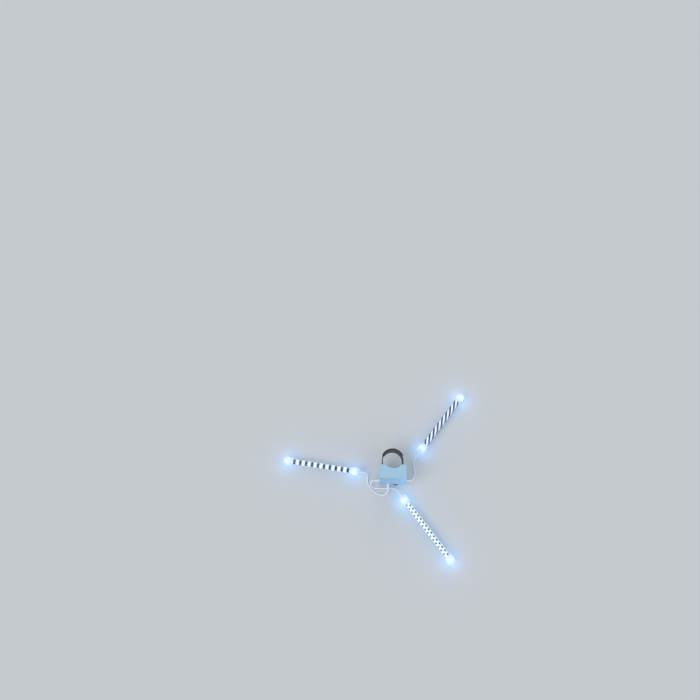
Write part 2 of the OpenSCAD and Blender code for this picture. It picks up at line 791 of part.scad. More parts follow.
// Push button with a flange behind the cover and a dished face
module power_button() {
    dish_r = 14;
    tip_y = face_y - button_proud;
    flange_y = rim_y + run;
    color(rubber_color) difference() {
        union() {
            front_cyl(button_x, flange_y, button_z, button_r, flange_y - tip_y);
            front_cyl(button_x, flange_y + button_flange_t, button_z, button_flange_r, button_flange_t);
        }
        translate([button_x, tip_y - dish_r + 0.3, button_z]) sphere(dish_r);
    }
}

// Strain reliefs where the three leads leave the pack
module pack_reliefs() {
    for (s = [-1, 1]) translate([s * case_half, side_exit_y, side_exit_z]) rotate([0, -s * 90, 0])
        relief(case_wall);
    translate([front_exit_x, face_y, front_exit_z]) rotate([-90, 0, 0]) relief(lid_t);
}

// Rubber lining of the trough, against the hub
module saddle_pad() {
    half = 40;
    pad_len = pack_h - 8;
    color(rubber_color) translate([0, 0, -pad_len / 2]) rotate([0, 0, 270 - half])
        rotate_extrude(angle = 2 * half) translate([hub_r, 0]) square([pad_t - 0.02, pad_len]);
}

// Flat sector of a ring
module sector(ri, ro, a0, a1) {
    rotate([0, 0, a0]) rotate_extrude(angle = a1 - a0)
        translate([ri, -strap_half]) square([ro - ri, strap_w]);
}

// Sewn eye round a bar of the pack, with the straight leg up to the hub
module strap_end(s) {
    difference() {
        union() {
            translate([s * strap_bar_x, strap_bar_y, -strap_half]) cylinder(r = strap_eye_r, h = strap_w);
            translate([s > 0 ? hub_r : -hub_r - strap_t, strap_bar_y, -strap_half])
                cube([strap_t, -strap_bar_y + eps, strap_w]);
        }
        translate([s * strap_bar_x, strap_bar_y, -strap_half - 1])
            cylinder(r = bar_r + fit, h = strap_w + 2);
    }
}

// Inner layer with the loop pile
module strap_loop() {
    color(strap_color) {
        strap_end(1);
        sector(hub_r, hub_r + strap_t, 0, strap_meet - strap_apart);
    }
}

// Outer layer with the hooks, laid over the inner one
module strap_hook() {
    lap = hub_r + strap_t + 0.05;
    color(strap_color) {
        strap_end(-1);
        sector(hub_r, hub_r + strap_t, strap_meet, 180);
        sector(hub_r, lap + strap_t, strap_meet, strap_meet + strap_ramp);
        sector(lap, lap + strap_t, strap_lap_end, strap_meet + strap_apart);
    }
}

tube_bars();
film_bars();
print_bars();
outer_cap_bars();
inner_cap_bars();
outer_led_bars();
inner_led_bars();
outer_holder_bars();
inner_holder_bars();
wires_bars();
relief_bars();
lead_bars();
tube_diagonals();
film_diagonals();
print_diagonals();
outer_cap_diagonals();
inner_cap_diagonals();
outer_led_diagonals();
inner_led_diagonals();
outer_holder_diagonals();
inner_holder_diagonals();
wires_diagonals();
relief_diagonals();
lead_diagonals();
tube_dots();
film_dots();
print_dots();
outer_cap_dots();
inner_cap_dots();
outer_led_dots();
inner_led_dots();
outer_holder_dots();
inner_holder_dots();
wires_dots();
relief_dots();
lead_dots();
pack_base();
control_cover();
case_screws();
battery_door();
door_seal();
door_screw_low();
door_screw_top();
cell_left();
cell_middle();
cell_right();
contact_plates();
contact_springs();
circuit_board();
resistors();
pack_wires();
switch_body();
switch_plunger();
power_button();
pack_reliefs();
saddle_pad();
strap_loop();
strap_hook();
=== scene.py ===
# %% [markdown]
# # A kit of three lit sticks
# Three clear sticks shine from within: one shows bars, one diagonal stripes, one dots. Thin leads join
# them to a battery pack with a strap. The construction is already there as a fixed frame, in metres, so
# this lesson only gives it its looks: finishes, soft parts, rounded edges and light.

# %% Load the frame
import math

import bmesh
import bpy
from mathutils import Matrix, Vector


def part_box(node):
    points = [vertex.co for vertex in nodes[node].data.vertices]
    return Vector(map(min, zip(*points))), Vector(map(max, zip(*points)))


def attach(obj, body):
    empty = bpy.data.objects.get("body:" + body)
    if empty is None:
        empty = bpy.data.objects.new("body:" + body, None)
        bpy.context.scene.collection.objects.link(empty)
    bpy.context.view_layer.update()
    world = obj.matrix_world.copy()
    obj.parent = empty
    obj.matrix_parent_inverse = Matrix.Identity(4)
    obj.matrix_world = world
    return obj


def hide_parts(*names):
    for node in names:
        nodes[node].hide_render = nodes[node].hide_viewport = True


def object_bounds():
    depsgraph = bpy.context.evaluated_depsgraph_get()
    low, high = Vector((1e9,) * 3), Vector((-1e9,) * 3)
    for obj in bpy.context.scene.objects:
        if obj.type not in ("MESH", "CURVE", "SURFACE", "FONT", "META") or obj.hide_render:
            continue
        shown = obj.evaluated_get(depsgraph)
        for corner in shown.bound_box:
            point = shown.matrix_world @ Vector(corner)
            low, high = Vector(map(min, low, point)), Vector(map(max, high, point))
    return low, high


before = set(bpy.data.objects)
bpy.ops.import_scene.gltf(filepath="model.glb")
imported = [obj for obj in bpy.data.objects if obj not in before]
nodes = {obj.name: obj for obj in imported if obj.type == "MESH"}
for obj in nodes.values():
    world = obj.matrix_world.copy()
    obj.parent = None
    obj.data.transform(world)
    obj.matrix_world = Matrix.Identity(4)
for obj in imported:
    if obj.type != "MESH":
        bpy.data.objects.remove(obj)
cad_low, cad_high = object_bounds()
MM = 0.001
print("nodes", len(nodes), "box", [round(v / MM, 1) for v in (*cad_low, *cad_high)])

# %% [markdown]
# ## Camera
# A camera can be turned by angles, but a place, a point to aim at and an upward direction are easier
# to read and to correct.

# %% Camera
CAMERA_PLACE = Vector((-37, -148, 780.2)) * MM
CAMERA_AIM = Vector((-63.8, 182.1, -22.8)) * MM
CAMERA_UP = Vector((0, 0.925, 0.380))
CAMERA_LENS = 27.77


def add_object(name, data):
    """New object in the scene that shows the data."""
    made = bpy.data.objects.new(name, data)
    bpy.context.scene.collection.objects.link(made)
    return made


camera = add_object("camera", bpy.data.cameras.new("camera"))
camera.data.lens = CAMERA_LENS
sight = (CAMERA_AIM - CAMERA_PLACE).normalized()
right = sight.cross(CAMERA_UP).normalized()
turn = Matrix((right, right.cross(sight), -sight)).transposed().to_4x4()
camera.matrix_world = Matrix.Translation(CAMERA_PLACE) @ turn
bpy.context.scene.camera = camera
print("camera looks down by", round(math.degrees(math.asin(-sight.z))), "degrees")

# %% [markdown]
# ## Where the sticks are
# Each stick has a direction, a place for its inner face, and an axis height. The leads end at the sticks,
# and patterns of light are later drawn in each stick's own frame, so these values are kept for both.

# %% Stick places
STICKS = ("bars", "diagonals", "dots")
STICK_LENGTH = 114 * MM
STICK_ANGLE = {"bars": 171.5, "diagonals": 52, "dots": -52.5}
STICK_ALONG = {"bars": 45.5, "diagonals": 39, "dots": 44.5}
STICK_ASIDE = {"bars": 19, "diagonals": -21.5, "dots": -17.5}
STICK_HEIGHT = -22.8 * MM


def stick_direction(name):
    """Unit vector from the inner to the outer end of a stick."""
    angle = math.radians(STICK_ANGLE[name])
    return Vector((math.cos(angle), math.sin(angle), 0))


def stick_origin(name):
    """Middle of the inner cap's face."""
    along = stick_direction(name)
    across = Vector((-along.y, along.x, 0))
    flat = along * STICK_ALONG[name] * MM + across * STICK_ASIDE[name] * MM
    return flat + Vector((0, 0, STICK_HEIGHT))


for name in STICKS:
    print(name, [round(v / MM, 2) for v in stick_origin(name)])

# %% [markdown]
# ## Routes of the leads
# A lead leaves the pack's strain relief straight, sinks to the floor, lies there in a loose bend and
# climbs to the stick. Its points could be left to a simulation, but a few chosen points show where it
# goes and are easy to move: X and Y in millimetres, and the height above the floor.

# %% Lead routes
LEAD_FLOOR = -31
STRAIGHT = 2
RELIEF_LENGTH = 6 * MM
PACK_EXIT = {
    "bars": ((-6, -35.2, -24.6), (0, -1, 0)),
    "diagonals": ((24.4, -24.02, -24.2), (1, 0, 0)),
    "dots": ((-24.4, -24.02, -24.2), (-1, 0, 0)),
}
LEAD_LAY = {
    "bars": [
        (-7, -40, 5.6), (-9.5, -42.5, 4), (-13, -44, 2), (-17, -43.5, 0.5), (-21.5, -42, 0),
        (-26, -39.5, 0), (-30, -36, 0), (-33, -32, 0), (-35, -27.5, 0), (-36, -23, 1),
        (-36, -19.5, 3), (-36, -16.5, 5.5), (-37.5, -14.3, 7.4),
    ],
    "diagonals": [
        (29.5, -23, 6), (32, -20.5, 4), (33.5, -17, 2), (34, -13, 0.5), (34, -9, 0),
        (33.5, -5, 0), (33, -1, 1), (33, 2.5, 3.5), (33.5, 6.5, 6.2),
    ],
    "dots": [
        (-29, -25, 6), (-31, -27.5, 4.5), (-31, -30.5, 2.5), (-28.5, -33, 1), (-25, -34, 0),
        (-20, -34, 0), (-15, -34, 0), (-10, -34, 0), (-5, -34, 0.2), (-1, -34, 1.6),
        (2.5, -35, 4), (5.5, -37, 6.6),
    ],
}


def lead_route(name):
    """Points of a lead from the pack's strain relief to the stick's."""
    place, heading = PACK_EXIT[name]
    start = Vector(place) * MM
    tip = stick_origin(name) - stick_direction(name) * RELIEF_LENGTH
    laid = [Vector((x, y, LEAD_FLOOR + up)) * MM for x, y, up in LEAD_LAY[name]]
    first = start + Vector(heading) * STRAIGHT * MM
    last = tip - stick_direction(name) * STRAIGHT * MM
    return [start, first, *laid, last, tip]


print("points on the leads", [len(lead_route(name)) for name in STICKS])

# %% [markdown]
# ## Leads
# A lead is a thin two-core cord in a soft white sheath. A mesh tube would do, but a curve with a round
# bevel keeps one smooth centreline that is easy to measure, so each lead is one open curve. The points
# carry the radius, and the bevel only multiplies it by one.

# %% Leads
LEAD_DIAMETER = 2 * MM


def lay_lead(name):
    """One open curve with a round section through the points of the route."""
    line = bpy.data.curves.new("lead_cord_" + name, "CURVE")
    line.dimensions = "3D"
    spline = line.splines.new("BEZIER")
    route = lead_route(name)
    spline.bezier_points.add(len(route) - 1)
    for point, place in zip(spline.bezier_points, route):
        point.co = place
        point.radius = LEAD_DIAMETER / 2
        point.handle_left_type = point.handle_right_type = "AUTO"
    line.bevel_depth = 1
    line.bevel_resolution = 4
    line.resolution_u = 6
    line.use_fill_caps = True
    cord = add_object("lead_cord_" + name, line)
    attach(cord, "kit")
    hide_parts("lead_" + name)
    return cord


cords = {name: lay_lead(name) for name in STICKS}
for name in STICKS:
    print(name, "lead, mm:", round(cords[name].data.splines[0].calc_length() / MM, 1))

# %% [markdown]
# ## Floor
# Its colour is chosen so that the lit floor is as bright as the world behind it, and no line shows where
# it ends.

# %% Floor
FLOOR_REACH = 12
FLOOR_DROP = 0.2 * MM
FLOOR_COLOUR = (0.596, 0.609, 0.621)

bpy.ops.object.select_all(action="DESELECT")
bpy.ops.mesh.primitive_plane_add(size=FLOOR_REACH, location=(0, 0, cad_low.z - FLOOR_DROP))
floor = bpy.context.object
floor.name = "floor"
print("floor at", round(floor.location.z / MM, 2), "mm")

# %% [markdown]
# ## Studio light
# Lamps near by would light the floor in patches, so an even world gives most of the light, and three
# broad suns shape the forms. Together they are set so that a colour comes out about as bright as it is
# written.

# %% World and suns
WORLD_COLOUR = (0.90, 0.95, 1.0)
WORLD_LEVEL = 0.62
SUNS = {
    "key": ((-1.5, -1.1, 2.3), 45, 1.05),
    "fill": ((1.9, -0.4, 1.6), 50, 0.30),
    "rim": ((0.2, 2.0, 1.5), 40, 0.30),
}

world = bpy.data.worlds.new("studio")
bpy.context.scene.world = world
world.use_nodes = True
world.node_tree.nodes["Background"].inputs["Color"].default_value = (*WORLD_COLOUR, 1)
world.node_tree.nodes["Background"].inputs["Strength"].default_value = WORLD_LEVEL
bpy.context.scene.view_settings.view_transform = "Standard"


def hang_sun(name, side, breadth, strength):
    sun = add_object(name + "_sun", bpy.data.lights.new(name + "_sun", "SUN"))
    sun.data.angle = math.radians(breadth)
    sun.data.energy = strength
    sun.location = Vector(side)
    sun.rotation_euler = (-Vector(side)).to_track_quat("-Z", "Y").to_euler()


for sun_name, values in SUNS.items():
    hang_sun(sun_name, *values)
print("suns", len(SUNS), "world level", WORLD_LEVEL)

# %% [markdown]
# ## Light that the sticks throw
# Each diode lays a small blue pool on the floor round its cap, and the tube between throws a weaker one.
# The glow of the pieces themselves is kept just bright enough to look lit, because more of it would burn
# their print away. So small lamps inside the sticks, which no wall shades, lay the pools.

# %% Pools of light
POOL_COLOUR = (0.10, 0.45, 1.0)
POOL_RADIUS = 4 * MM
POOLS = {7: 0.0090, 30: 0.0025, 57: 0.0025, 84: 0.0025, 107: 0.0090}


def light_pool(name, along, power):
    """Small lamp on the axis of a stick, at a distance in millimetres from its inner face."""
    title = f"pool_{name}_{along}"
    lamp = add_object(title, bpy.data.lights.new(title, "POINT"))
    lamp.data.color = POOL_COLOUR
    lamp.data.energy = power
    lamp.data.shadow_soft_size = POOL_RADIUS
    lamp.data.use_shadow = False
    lamp.location = stick_origin(name) + stick_direction(name) * along * MM


for name in STICKS:
    for along, power in POOLS.items():
        light_pool(name, along, power)
print("pools", len(STICKS) * len(POOLS))

# %% [markdown]
# ## Tools for finishes
# A finish is a small network: a pattern in, colour, roughness and relief out. Networks can be drawn by
# hand in the shader editor; in code, a few helpers that each add one node and return its output keep them
# readable.

# %% Node helpers
def feed(tree, made, values):
    """Fills a node's inputs by name or number: a socket is linked, anything else is a plain value."""
    for key, value in values.items():
        if isinstance(value, bpy.types.NodeSocket):
            tree.links.new(value, made.inputs[key])
        else:
            made.inputs[key].default_value = value
    return made


def add_node(tree, kind, values=None, **settings):
    """New shader node with its properties and its inputs."""
    made = tree.nodes.new("ShaderNode" + kind)
    for key, value in settings.items():
        setattr(made, key, value)
    return feed(tree, made, values or {})


def math_node(tree, operation, first, second=0.0, clamp=False):
    """Output of a math node on two numbers or sockets."""
    return add_node(tree, "Math", {0: first, 1: second}, operation=operation, use_clamp=clamp).outputs[0]


def spread_node(tree, value, low, high, new_low, new_high):
    """Output of a value brought from one range into another, held at both ends."""
    return add_node(tree, "MapRange", {
        "Value": value, "From Min": low, "From Max": high,
        "To Min": new_low, "To Max": new_high}).outputs[0]


def mix_node(tree, share, first, second):
    """Output of two colours mixed."""
    return add_node(tree, "Mix", {0: share, 6: first, 7: second}, data_type="RGBA").outputs[2]


def scale_node(tree, colour, level):
    """Output of a colour made brighter or darker by a factor."""
    return add_node(tree, "VectorMath", {0: colour, "Scale": level}, operation="SCALE").outputs[0]


def noise_node(tree, vector, scale, detail):
    """Output of a noise pattern; the scale is in cells per metre."""
    return add_node(tree, "TexNoise", {"Vector": vector, "Scale": scale, "Detail": detail}).outputs["Fac"]


print("node helpers ready")

# %% [markdown]
# ## Groups
# An effect that several finishes show is built once, as a group whose sockets have plain names, and
# placed in each finish with its own values. Copying the nodes would work too, but then a change has to be
# made in each.

# %% Group helpers
def start_group(title, inputs, outputs):
    """Empty shader group with its sockets, and its two ends."""
    tree = bpy.data.node_groups.new(title, "ShaderNodeTree")
    for name, kind, value in inputs:
        socket = tree.interface.new_socket(name, in_out="INPUT", socket_type="NodeSocket" + kind)
        if value is not None:
            socket.default_value = value
    for name, kind in outputs:
        tree.interface.new_socket(name, in_out="OUTPUT", socket_type="NodeSocket" + kind)
    return tree, tree.nodes.new("NodeGroupInput").outputs, tree.nodes.new("NodeGroupOutput")


def place_group(tree, group, values):
    """Puts a shared group into a finish and returns its outputs."""
    made = tree.nodes.new("ShaderNodeGroup")
    made.node_tree = group
    return feed(tree, made, values).outputs


print("group helpers ready")

# %% [markdown]
# ## Moulded skin
# Plastic and rubber from a mould have a soft change of tone, an uneven shine and a fine grain. A flat
# colour would look like paint on a screen, so three noises of different size give the three.

# %% Moulded skin
TONE_CELLS, SHINE_CELLS = 70, 220
NOISE_RANGE = (0.3, 0.7)

tree, given, out = start_group(
    "Moulded skin",
    [("Vector", "Vector", None), ("Colour", "Color", (1, 1, 1, 1)), ("Tone", "Float", 0.1),
     ("Shine low", "Float", 0.3), ("Shine high", "Float", 0.5), ("Grain", "Float", 2500.0)],
    [("Colour", "Color"), ("Roughness", "Float"), ("Height", "Float")])
cloudy = noise_node(tree, given["Vector"], TONE_CELLS, 4)
lift = math_node(tree, "MULTIPLY", math_node(tree, "SUBTRACT", cloudy, 0.5), given["Tone"])
level = math_node(tree, "ADD", math_node(tree, "MULTIPLY", lift, 2.0), 1.0)
patchy = noise_node(tree, given["Vector"], SHINE_CELLS, 3)
feed(tree, out, {
    "Colour": scale_node(tree, given["Colour"], level),
    "Roughness": spread_node(tree, patchy, *NOISE_RANGE, given["Shine low"], given["Shine high"]),
    "Height": noise_node(tree, given["Vector"], given["Grain"], 2)})
moulded_skin = tree
print(moulded_skin.name, "made")

# %% [markdown]
# ## Worn edge
# Handling rubs the edges of a case paler. The pieces carry an attribute that marks the faces of their
# rounds; pointiness alone would find every small bump, so the two are multiplied and then broken up by
# noise.

# %% Worn edge
WEAR_CELLS = 320
WEAR_RANGE = (0.34, 0.66)
RIDGE_RANGE = (0.50, 0.54)

tree, given, out = start_group(
    "Worn edge",
    [("Vector", "Vector", None), ("Colour", "Color", (1, 1, 1, 1)),
     ("Worn", "Color", (1, 1, 1, 1)), ("Amount", "Float", 0.5)],
    [("Colour", "Color")])
rounded = add_node(tree, "Attribute", attribute_name="rounded").outputs["Fac"]
pointed = add_node(tree, "NewGeometry").outputs["Pointiness"]
edge = math_node(tree, "MULTIPLY", rounded, spread_node(tree, pointed, *RIDGE_RANGE, 0, 1))
broken = spread_node(tree, noise_node(tree, given["Vector"], WEAR_CELLS, 4), *WEAR_RANGE, 0, 1)
mask = math_node(tree, "MULTIPLY", math_node(tree, "MULTIPLY", edge, broken), given["Amount"])
feed(tree, out, {"Colour": mix_node(tree, mask, given["Colour"], given["Worn"])})
worn_edge = tree
print(worn_edge.name, "made")

# %% [markdown]
# ## Stick glow
# A diode at each end shines along the stick, so the light is strongest at both ends and weaker half way.
# The group puts out two shares: one along the whole stick, for the film, and one round each diode, for
# the caps. It works in a stick's own frame, where X runs from the inner face outwards.

# %% Stick glow
DIODE_INSET = 7 * MM
FALL_POWER = 2.5

tree, given, out = start_group(
    "Stick glow",
    [("Vector", "Vector", None), ("Middle", "Float", 0.6), ("Reach", "Float", 6.0)],
    [("Along", "Float"), ("Near diode", "Float")])
split = add_node(tree, "SeparateXYZ", {0: given["Vector"]}).outputs
share = math_node(tree, "DIVIDE", split["X"], STICK_LENGTH)
centred = math_node(tree, "ABSOLUTE", math_node(tree, "SUBTRACT", share, 0.5))
away = math_node(tree, "MULTIPLY", centred, 2.0, clamp=True)
curve = math_node(tree, "POWER", away, FALL_POWER)
aside = math_node(tree, "ABSOLUTE", math_node(tree, "SUBTRACT", split["X"], STICK_LENGTH / 2))
end = math_node(tree, "SUBTRACT", STICK_LENGTH / 2 - DIODE_INSET, aside)
flat = add_node(tree, "CombineXYZ", {"X": end, "Y": split["Y"], "Z": split["Z"]})
gap = add_node(tree, "VectorMath", {0: flat.outputs[0]}, operation="LENGTH").outputs["Value"]
scaled = math_node(tree, "DIVIDE", gap, math_node(tree, "MULTIPLY", given["Reach"], MM))
weaker = math_node(tree, "ADD", 1.0, math_node(tree, "POWER", scaled, 2.0))
feed(tree, out, {
    "Along": spread_node(tree, curve, 0, 1, given["Middle"], 1),
    "Near diode": math_node(tree, "DIVIDE", 1.0, weaker)})
stick_glow = tree
print(stick_glow.name, "made")

# %% [markdown]
# ## Drawn metal
# Wire and strip are pulled through a die, which leaves fine lines along them, and plating shines in
# patches. Noise that is stretched along one axis makes the lines, and plain noise the patches.

# %% Drawn metal
LINE_CELLS, PATCH_CELLS = 5200, 420
LINE_STRETCH = (0.06, 1, 1)
PATCH_TONE = (0.86, 1.06)
PATCH_DULL = 0.25

tree, given, out = start_group(
    "Drawn metal",
    [("Vector", "Vector", None), ("Colour", "Color", (0.6, 0.6, 0.6, 1)), ("Shine", "Float", 0.3)],
    [("Colour", "Color"), ("Roughness", "Float"), ("Height", "Float")])
stretched = add_node(tree, "VectorMath", {0: given["Vector"], 1: LINE_STRETCH}, operation="MULTIPLY")
patches = noise_node(tree, given["Vector"], PATCH_CELLS, 3)
level = spread_node(tree, patches, *NOISE_RANGE, *PATCH_TONE)
duller = math_node(tree, "MULTIPLY", patches, PATCH_DULL)
feed(tree, out, {
    "Colour": scale_node(tree, given["Colour"], level),
    "Roughness": math_node(tree, "ADD", duller, given["Shine"]),
    "Height": noise_node(tree, stretched.outputs[0], LINE_CELLS, 3)})
drawn_metal = tree
print(drawn_metal.name, "made")

# %% [markdown]
# ## Start of a finish
# Every finish starts from one shader and reads the piece's own coordinates, in metres, so patterns keep
# their real size. What is the same all over a surface is set on the shader; what changes comes from a
# group.

# %% Start of a finish
def start_finish(title, **plain):
    """New material, its network, its shader and its coordinates; plain values go on the shader."""
    made = bpy.data.materials.new(title)
    made.use_nodes = True
    tree = made.node_tree
    shader = tree.nodes["Principled BSDF"]
    for key, value in plain.items():
        shader.inputs[key.replace("_", " ")].default_value = value
    return made, tree, shader, add_node(tree, "TexCoord").outputs["Object"]


def raise_relief(tree, shader, height, depth, strength=1.0):
    """Feeds a height pattern into a shader's normal; the depth is in millimetres."""
    bump = add_node(tree, "Bump", {"Height": height, "Distance": depth * MM, "Strength": strength})
    feed(tree, shader, {"Normal": bump.outputs[0]})


def lay_group(tree, shader, group, values):
    """Puts a group on a shader's colour and roughness and returns its outputs."""
    laid = place_group(tree, group, values)
    feed(tree, shader, {"Base Color": laid["Colour"], "Roughness": laid["Roughness"]})
    return laid


def lay_skin(tree, shader, place, colour, tone, shine, grain):
    """Lays the moulded skin; the colour is a socket or three values."""
    return lay_group(tree, shader, moulded_skin, {
        "Vector": place, "Colour": (*colour, 1) if isinstance(colour, tuple) else colour,
        "Tone": tone, "Shine low": shine[0], "Shine high": shine[1], "Grain": grain})


print("finish helpers ready")

# %% [markdown]
# ## Two families of finishes
# Most pieces are either moulded, in plastic or rubber, or drawn and stamped from metal. A function for
# each family takes the few values that tell its members apart.

# %% Moulded and drawn
LINE_DEPTH = 0.006


def moulded(title, colour, tone, shine, grain=2600, depth=0.02, **plain):
    """Finish of a moulded or rubbery surface: how far its tone changes, its lowest and highest roughness,
    and its grain in cells per metre and in millimetres of depth."""
    made, tree, shader, place = start_finish(title, **plain)
    skin = lay_skin(tree, shader, place, colour, tone, shine, grain)
    raise_relief(tree, shader, skin["Height"], depth)
    return made


def drawn(title, colour, shine):
    """Finish of drawn or stamped metal."""
    made, tree, shader, place = start_finish(title, Metallic=1.0)
    metal = lay_group(tree, shader, drawn_metal, {
        "Vector": place, "Colour": (*colour, 1), "Shine": shine})
    raise_relief(tree, shader, metal["Height"], LINE_DEPTH)
    return made


print("two families of finishes ready")

# %% [markdown]
# ## Clear tube
# The stick's shell is extruded acrylic: clear, a little blue, with faint waves and an uneven shine. Plain
# glass would lay a full shadow on the film inside and on the floor, so shadow rays pass straight through
# it.

# %% Clear tube
ACRYLIC_TINT = (0.93, 0.97, 1.0)

tube_finish, tree, shader, place = start_finish(
    "clear_acrylic", IOR=1.49, Transmission_Weight=1.0, Specular_IOR_Level=0.25)
skin = lay_skin(tree, shader, place, ACRYLIC_TINT, tone=0.02, shine=(0.00, 0.05), grain=160)
raise_relief(tree, shader, skin["Height"], depth=0.01, strength=0.2)
shadow = add_node(tree, "LightPath").outputs["Is Shadow Ray"]
clear = add_node(tree, "BsdfTransparent", {"Color": (*ACRYLIC_TINT, 1)})
both = add_node(tree, "MixShader", {0: shadow, 1: shader.outputs[0], 2: clear.outputs[0]})
feed(tree, tree.nodes["Material Output"], {"Surface": both.outputs[0]})
print(tube_finish.name)

# %% [markdown]
# ## Lit film, caps and diodes
# The film and the caps glow because two diodes shine along each stick. Real light could be left to bounce
# inside, but thousands of bounces would stay noisy. The glow is written into the finishes instead, in the
# stick's own frame: a Mapping node turns the coordinates so that X runs along the stick. The pool lamps
# already light the floor, so these faces aren't sampled as lamps, which keeps the picture clean.

# %% Lit pieces
GLOW_BLUE = (0.22, 0.56, 1.0, 1)
GLOW_WHITE = (0.92, 0.97, 1.0, 1)


def stick_frame(tree, place, name):
    """Coordinates turned into the frame of one stick."""
    turned = add_node(tree, "Mapping", {
        "Vector": place, "Location": stick_origin(name),
        "Rotation": (0, 0, math.radians(STICK_ANGLE[name]))}, vector_type="TEXTURE")
    return turned.outputs[0]


def lit_finish(title, name, colour, share, strength, middle=0.6, reach=6.0, **plain):
    """Pale plastic that glows along a stick or round its diodes."""
    made, tree, shader, place = start_finish(title, Emission_Strength=strength, **plain)
    made.cycles.emission_sampling = "NONE"
    glow = place_group(tree, stick_glow, {
        "Vector": stick_frame(tree, place, name), "Middle": middle, "Reach": reach})
    skin = lay_skin(tree, shader, place, colour, tone=0.04, shine=(0.25, 0.40), grain=2200)
    level = glow[share]
    tint = mix_node(tree, level, GLOW_BLUE, GLOW_WHITE)
    feed(tree, shader, {"Emission Color": scale_node(tree, tint, level)})
    raise_relief(tree, shader, skin["Height"], depth=0.01)
    return made


film_finish, cap_finish, diode_finish, holder_finish = {}, {}, {}, {}
for name in STICKS:
    film_finish[name] = lit_finish(
        "lit_film_" + name, name, (0.30, 0.34, 0.38), "Along", strength=0.78, middle=0.9)
    cap_finish[name] = lit_finish(
        "lit_cap_" + name, name, (0.38, 0.44, 0.52), "Near diode", strength=1.15, reach=7.5,
        Subsurface_Weight=0.15, Subsurface_Scale=2 * MM)
    diode_finish[name] = lit_finish(
        "lit_diode_" + name, name, (0.85, 0.93, 1.0), "Near diode", strength=2.0, reach=5.0)
    holder_finish[name] = lit_finish(
        "lit_holder_" + name, name, (0.88, 0.92, 0.96), "Near diode", strength=0.6, reach=7.0)
print("lit finishes on", len(cap_finish), "sticks")

# %% [markdown]
# ## Ink
# The marks are printed in a dark blue that lets almost no light through. Print is never quite even: the
# ink is a little thinner in places, and a trace of the light behind it shows blue there. An even black
# would look like a hole, so noise mixes two faint glows.

# %% Ink
INK_COLOUR = (0.001, 0.016, 0.085)
INK_CELLS, INK_RANGE = 900, (0.35, 0.75)
INK_THICK, INK_THIN = (0.000, 0.005, 0.026, 1), (0.000, 0.018, 0.070, 1)

ink_finish, tree, shader, place = start_finish(
    "printed_ink", Emission_Strength=1.0, Specular_IOR_Level=0.2)
ink_finish.cycles.emission_sampling = "NONE"
lay_skin(tree, shader, place, INK_COLOUR, tone=0.2, shine=(0.35, 0.55), grain=3000)
thin = spread_node(tree, noise_node(tree, place, INK_CELLS, 3), *INK_RANGE, 0, 1)
feed(tree, shader, {"Emission Color": mix_node(tree, thin, INK_THICK, INK_THIN)})
print(ink_finish.name)

# %% [markdown]
# ## Case plastic
# The pack's shell is a pale blue moulded plastic with a fine grain and rubbed edges. The wear could be
# painted by hand; reading it from the rounds puts it on each edge by itself.

# %% Case plastic
CASE_BLUE, CASE_RUBBED = (0.36, 0.57, 0.74), (0.62, 0.76, 0.86)

case_finish, tree, shader, place = start_finish("case_plastic")
skin = lay_skin(tree, shader, place, CASE_BLUE, tone=0.05, shine=(0.34, 0.50), grain=2800)
worn = place_group(tree, worn_edge, {
    "Vector": place, "Colour": skin["Colour"], "Worn": (*CASE_RUBBED, 1), "Amount": 0.4})
feed(tree, shader, {"Base Color": worn["Colour"]})
raise_relief(tree, shader, skin["Height"], depth=0.016)
print(case_finish.name)

# %% [markdown]
# ## Vinyl, rubber and metals
# Leads and strain reliefs are soft white vinyl, the pad and the seal black rubber, and the button a
# smoother rubber. Screws are plated steel, contacts nickel and the wires to the diodes tinned copper.
# Each is a member of one of the two families, so a row of values is enough. The floor takes a matt skin
# of the same kind.

# %% Vinyl, rubber and metals
lead_finish = moulded("white_vinyl", (0.80, 0.835, 0.87), 0.06, (0.28, 0.42), 1500,
                      Subsurface_Weight=0.1, Subsurface_Scale=1 * MM)
rubber_finish = moulded("black_rubber", (0.022, 0.024, 0.028), 0.25, (0.55, 0.75), 2200, 0.04)
button_finish = moulded("button_rubber", (0.045, 0.047, 0.052), 0.2, (0.42, 0.58))
wire_finish = moulded("red_wire", (0.45, 0.03, 0.025), 0.1, (0.35, 0.5), 1800)
switch_finish = moulded("switch_black", (0.03, 0.03, 0.035), 0.1, (0.4, 0.55))
plunger_finish = moulded("plunger_white", (0.75, 0.76, 0.78), 0.05, (0.35, 0.5))
floor_finish = moulded("pale_floor", FLOOR_COLOUR, 0.01, (0.55, 0.65), 900, 0.01,
                       Specular_IOR_Level=0.0)
steel_finish = drawn("plated_steel", (0.62, 0.63, 0.65), 0.22)
contact_finish = drawn("nickel_contact", (0.70, 0.67, 0.60), 0.18)
tinned_finish = drawn("tinned_copper", (0.72, 0.68, 0.62), 0.25)
print("finishes so far", len(bpy.data.materials))

# %% [markdown]
# ## Sleeves of the cells
# The three cells show when the door is off. Each has a dark blue shrink sleeve with plain pale rings and
# bare steel at its ends. A picture round the cell would do; a ramp along its axis needs none and stays
# sharp. The middle cell stands upside down.

# %% Cell sleeves
STEEL, BLUE, PALE = (0.55, 0.56, 0.58), (0.03, 0.09, 0.30), (0.62, 0.70, 0.76)
FOOT, HEAD = 0.02, 0.96
SLEEVE_EDGES = [FOOT, 0.70, 0.73, 0.76, HEAD]
SLEEVE_COLOURS = [STEEL, BLUE, PALE, BLUE, PALE, STEEL]


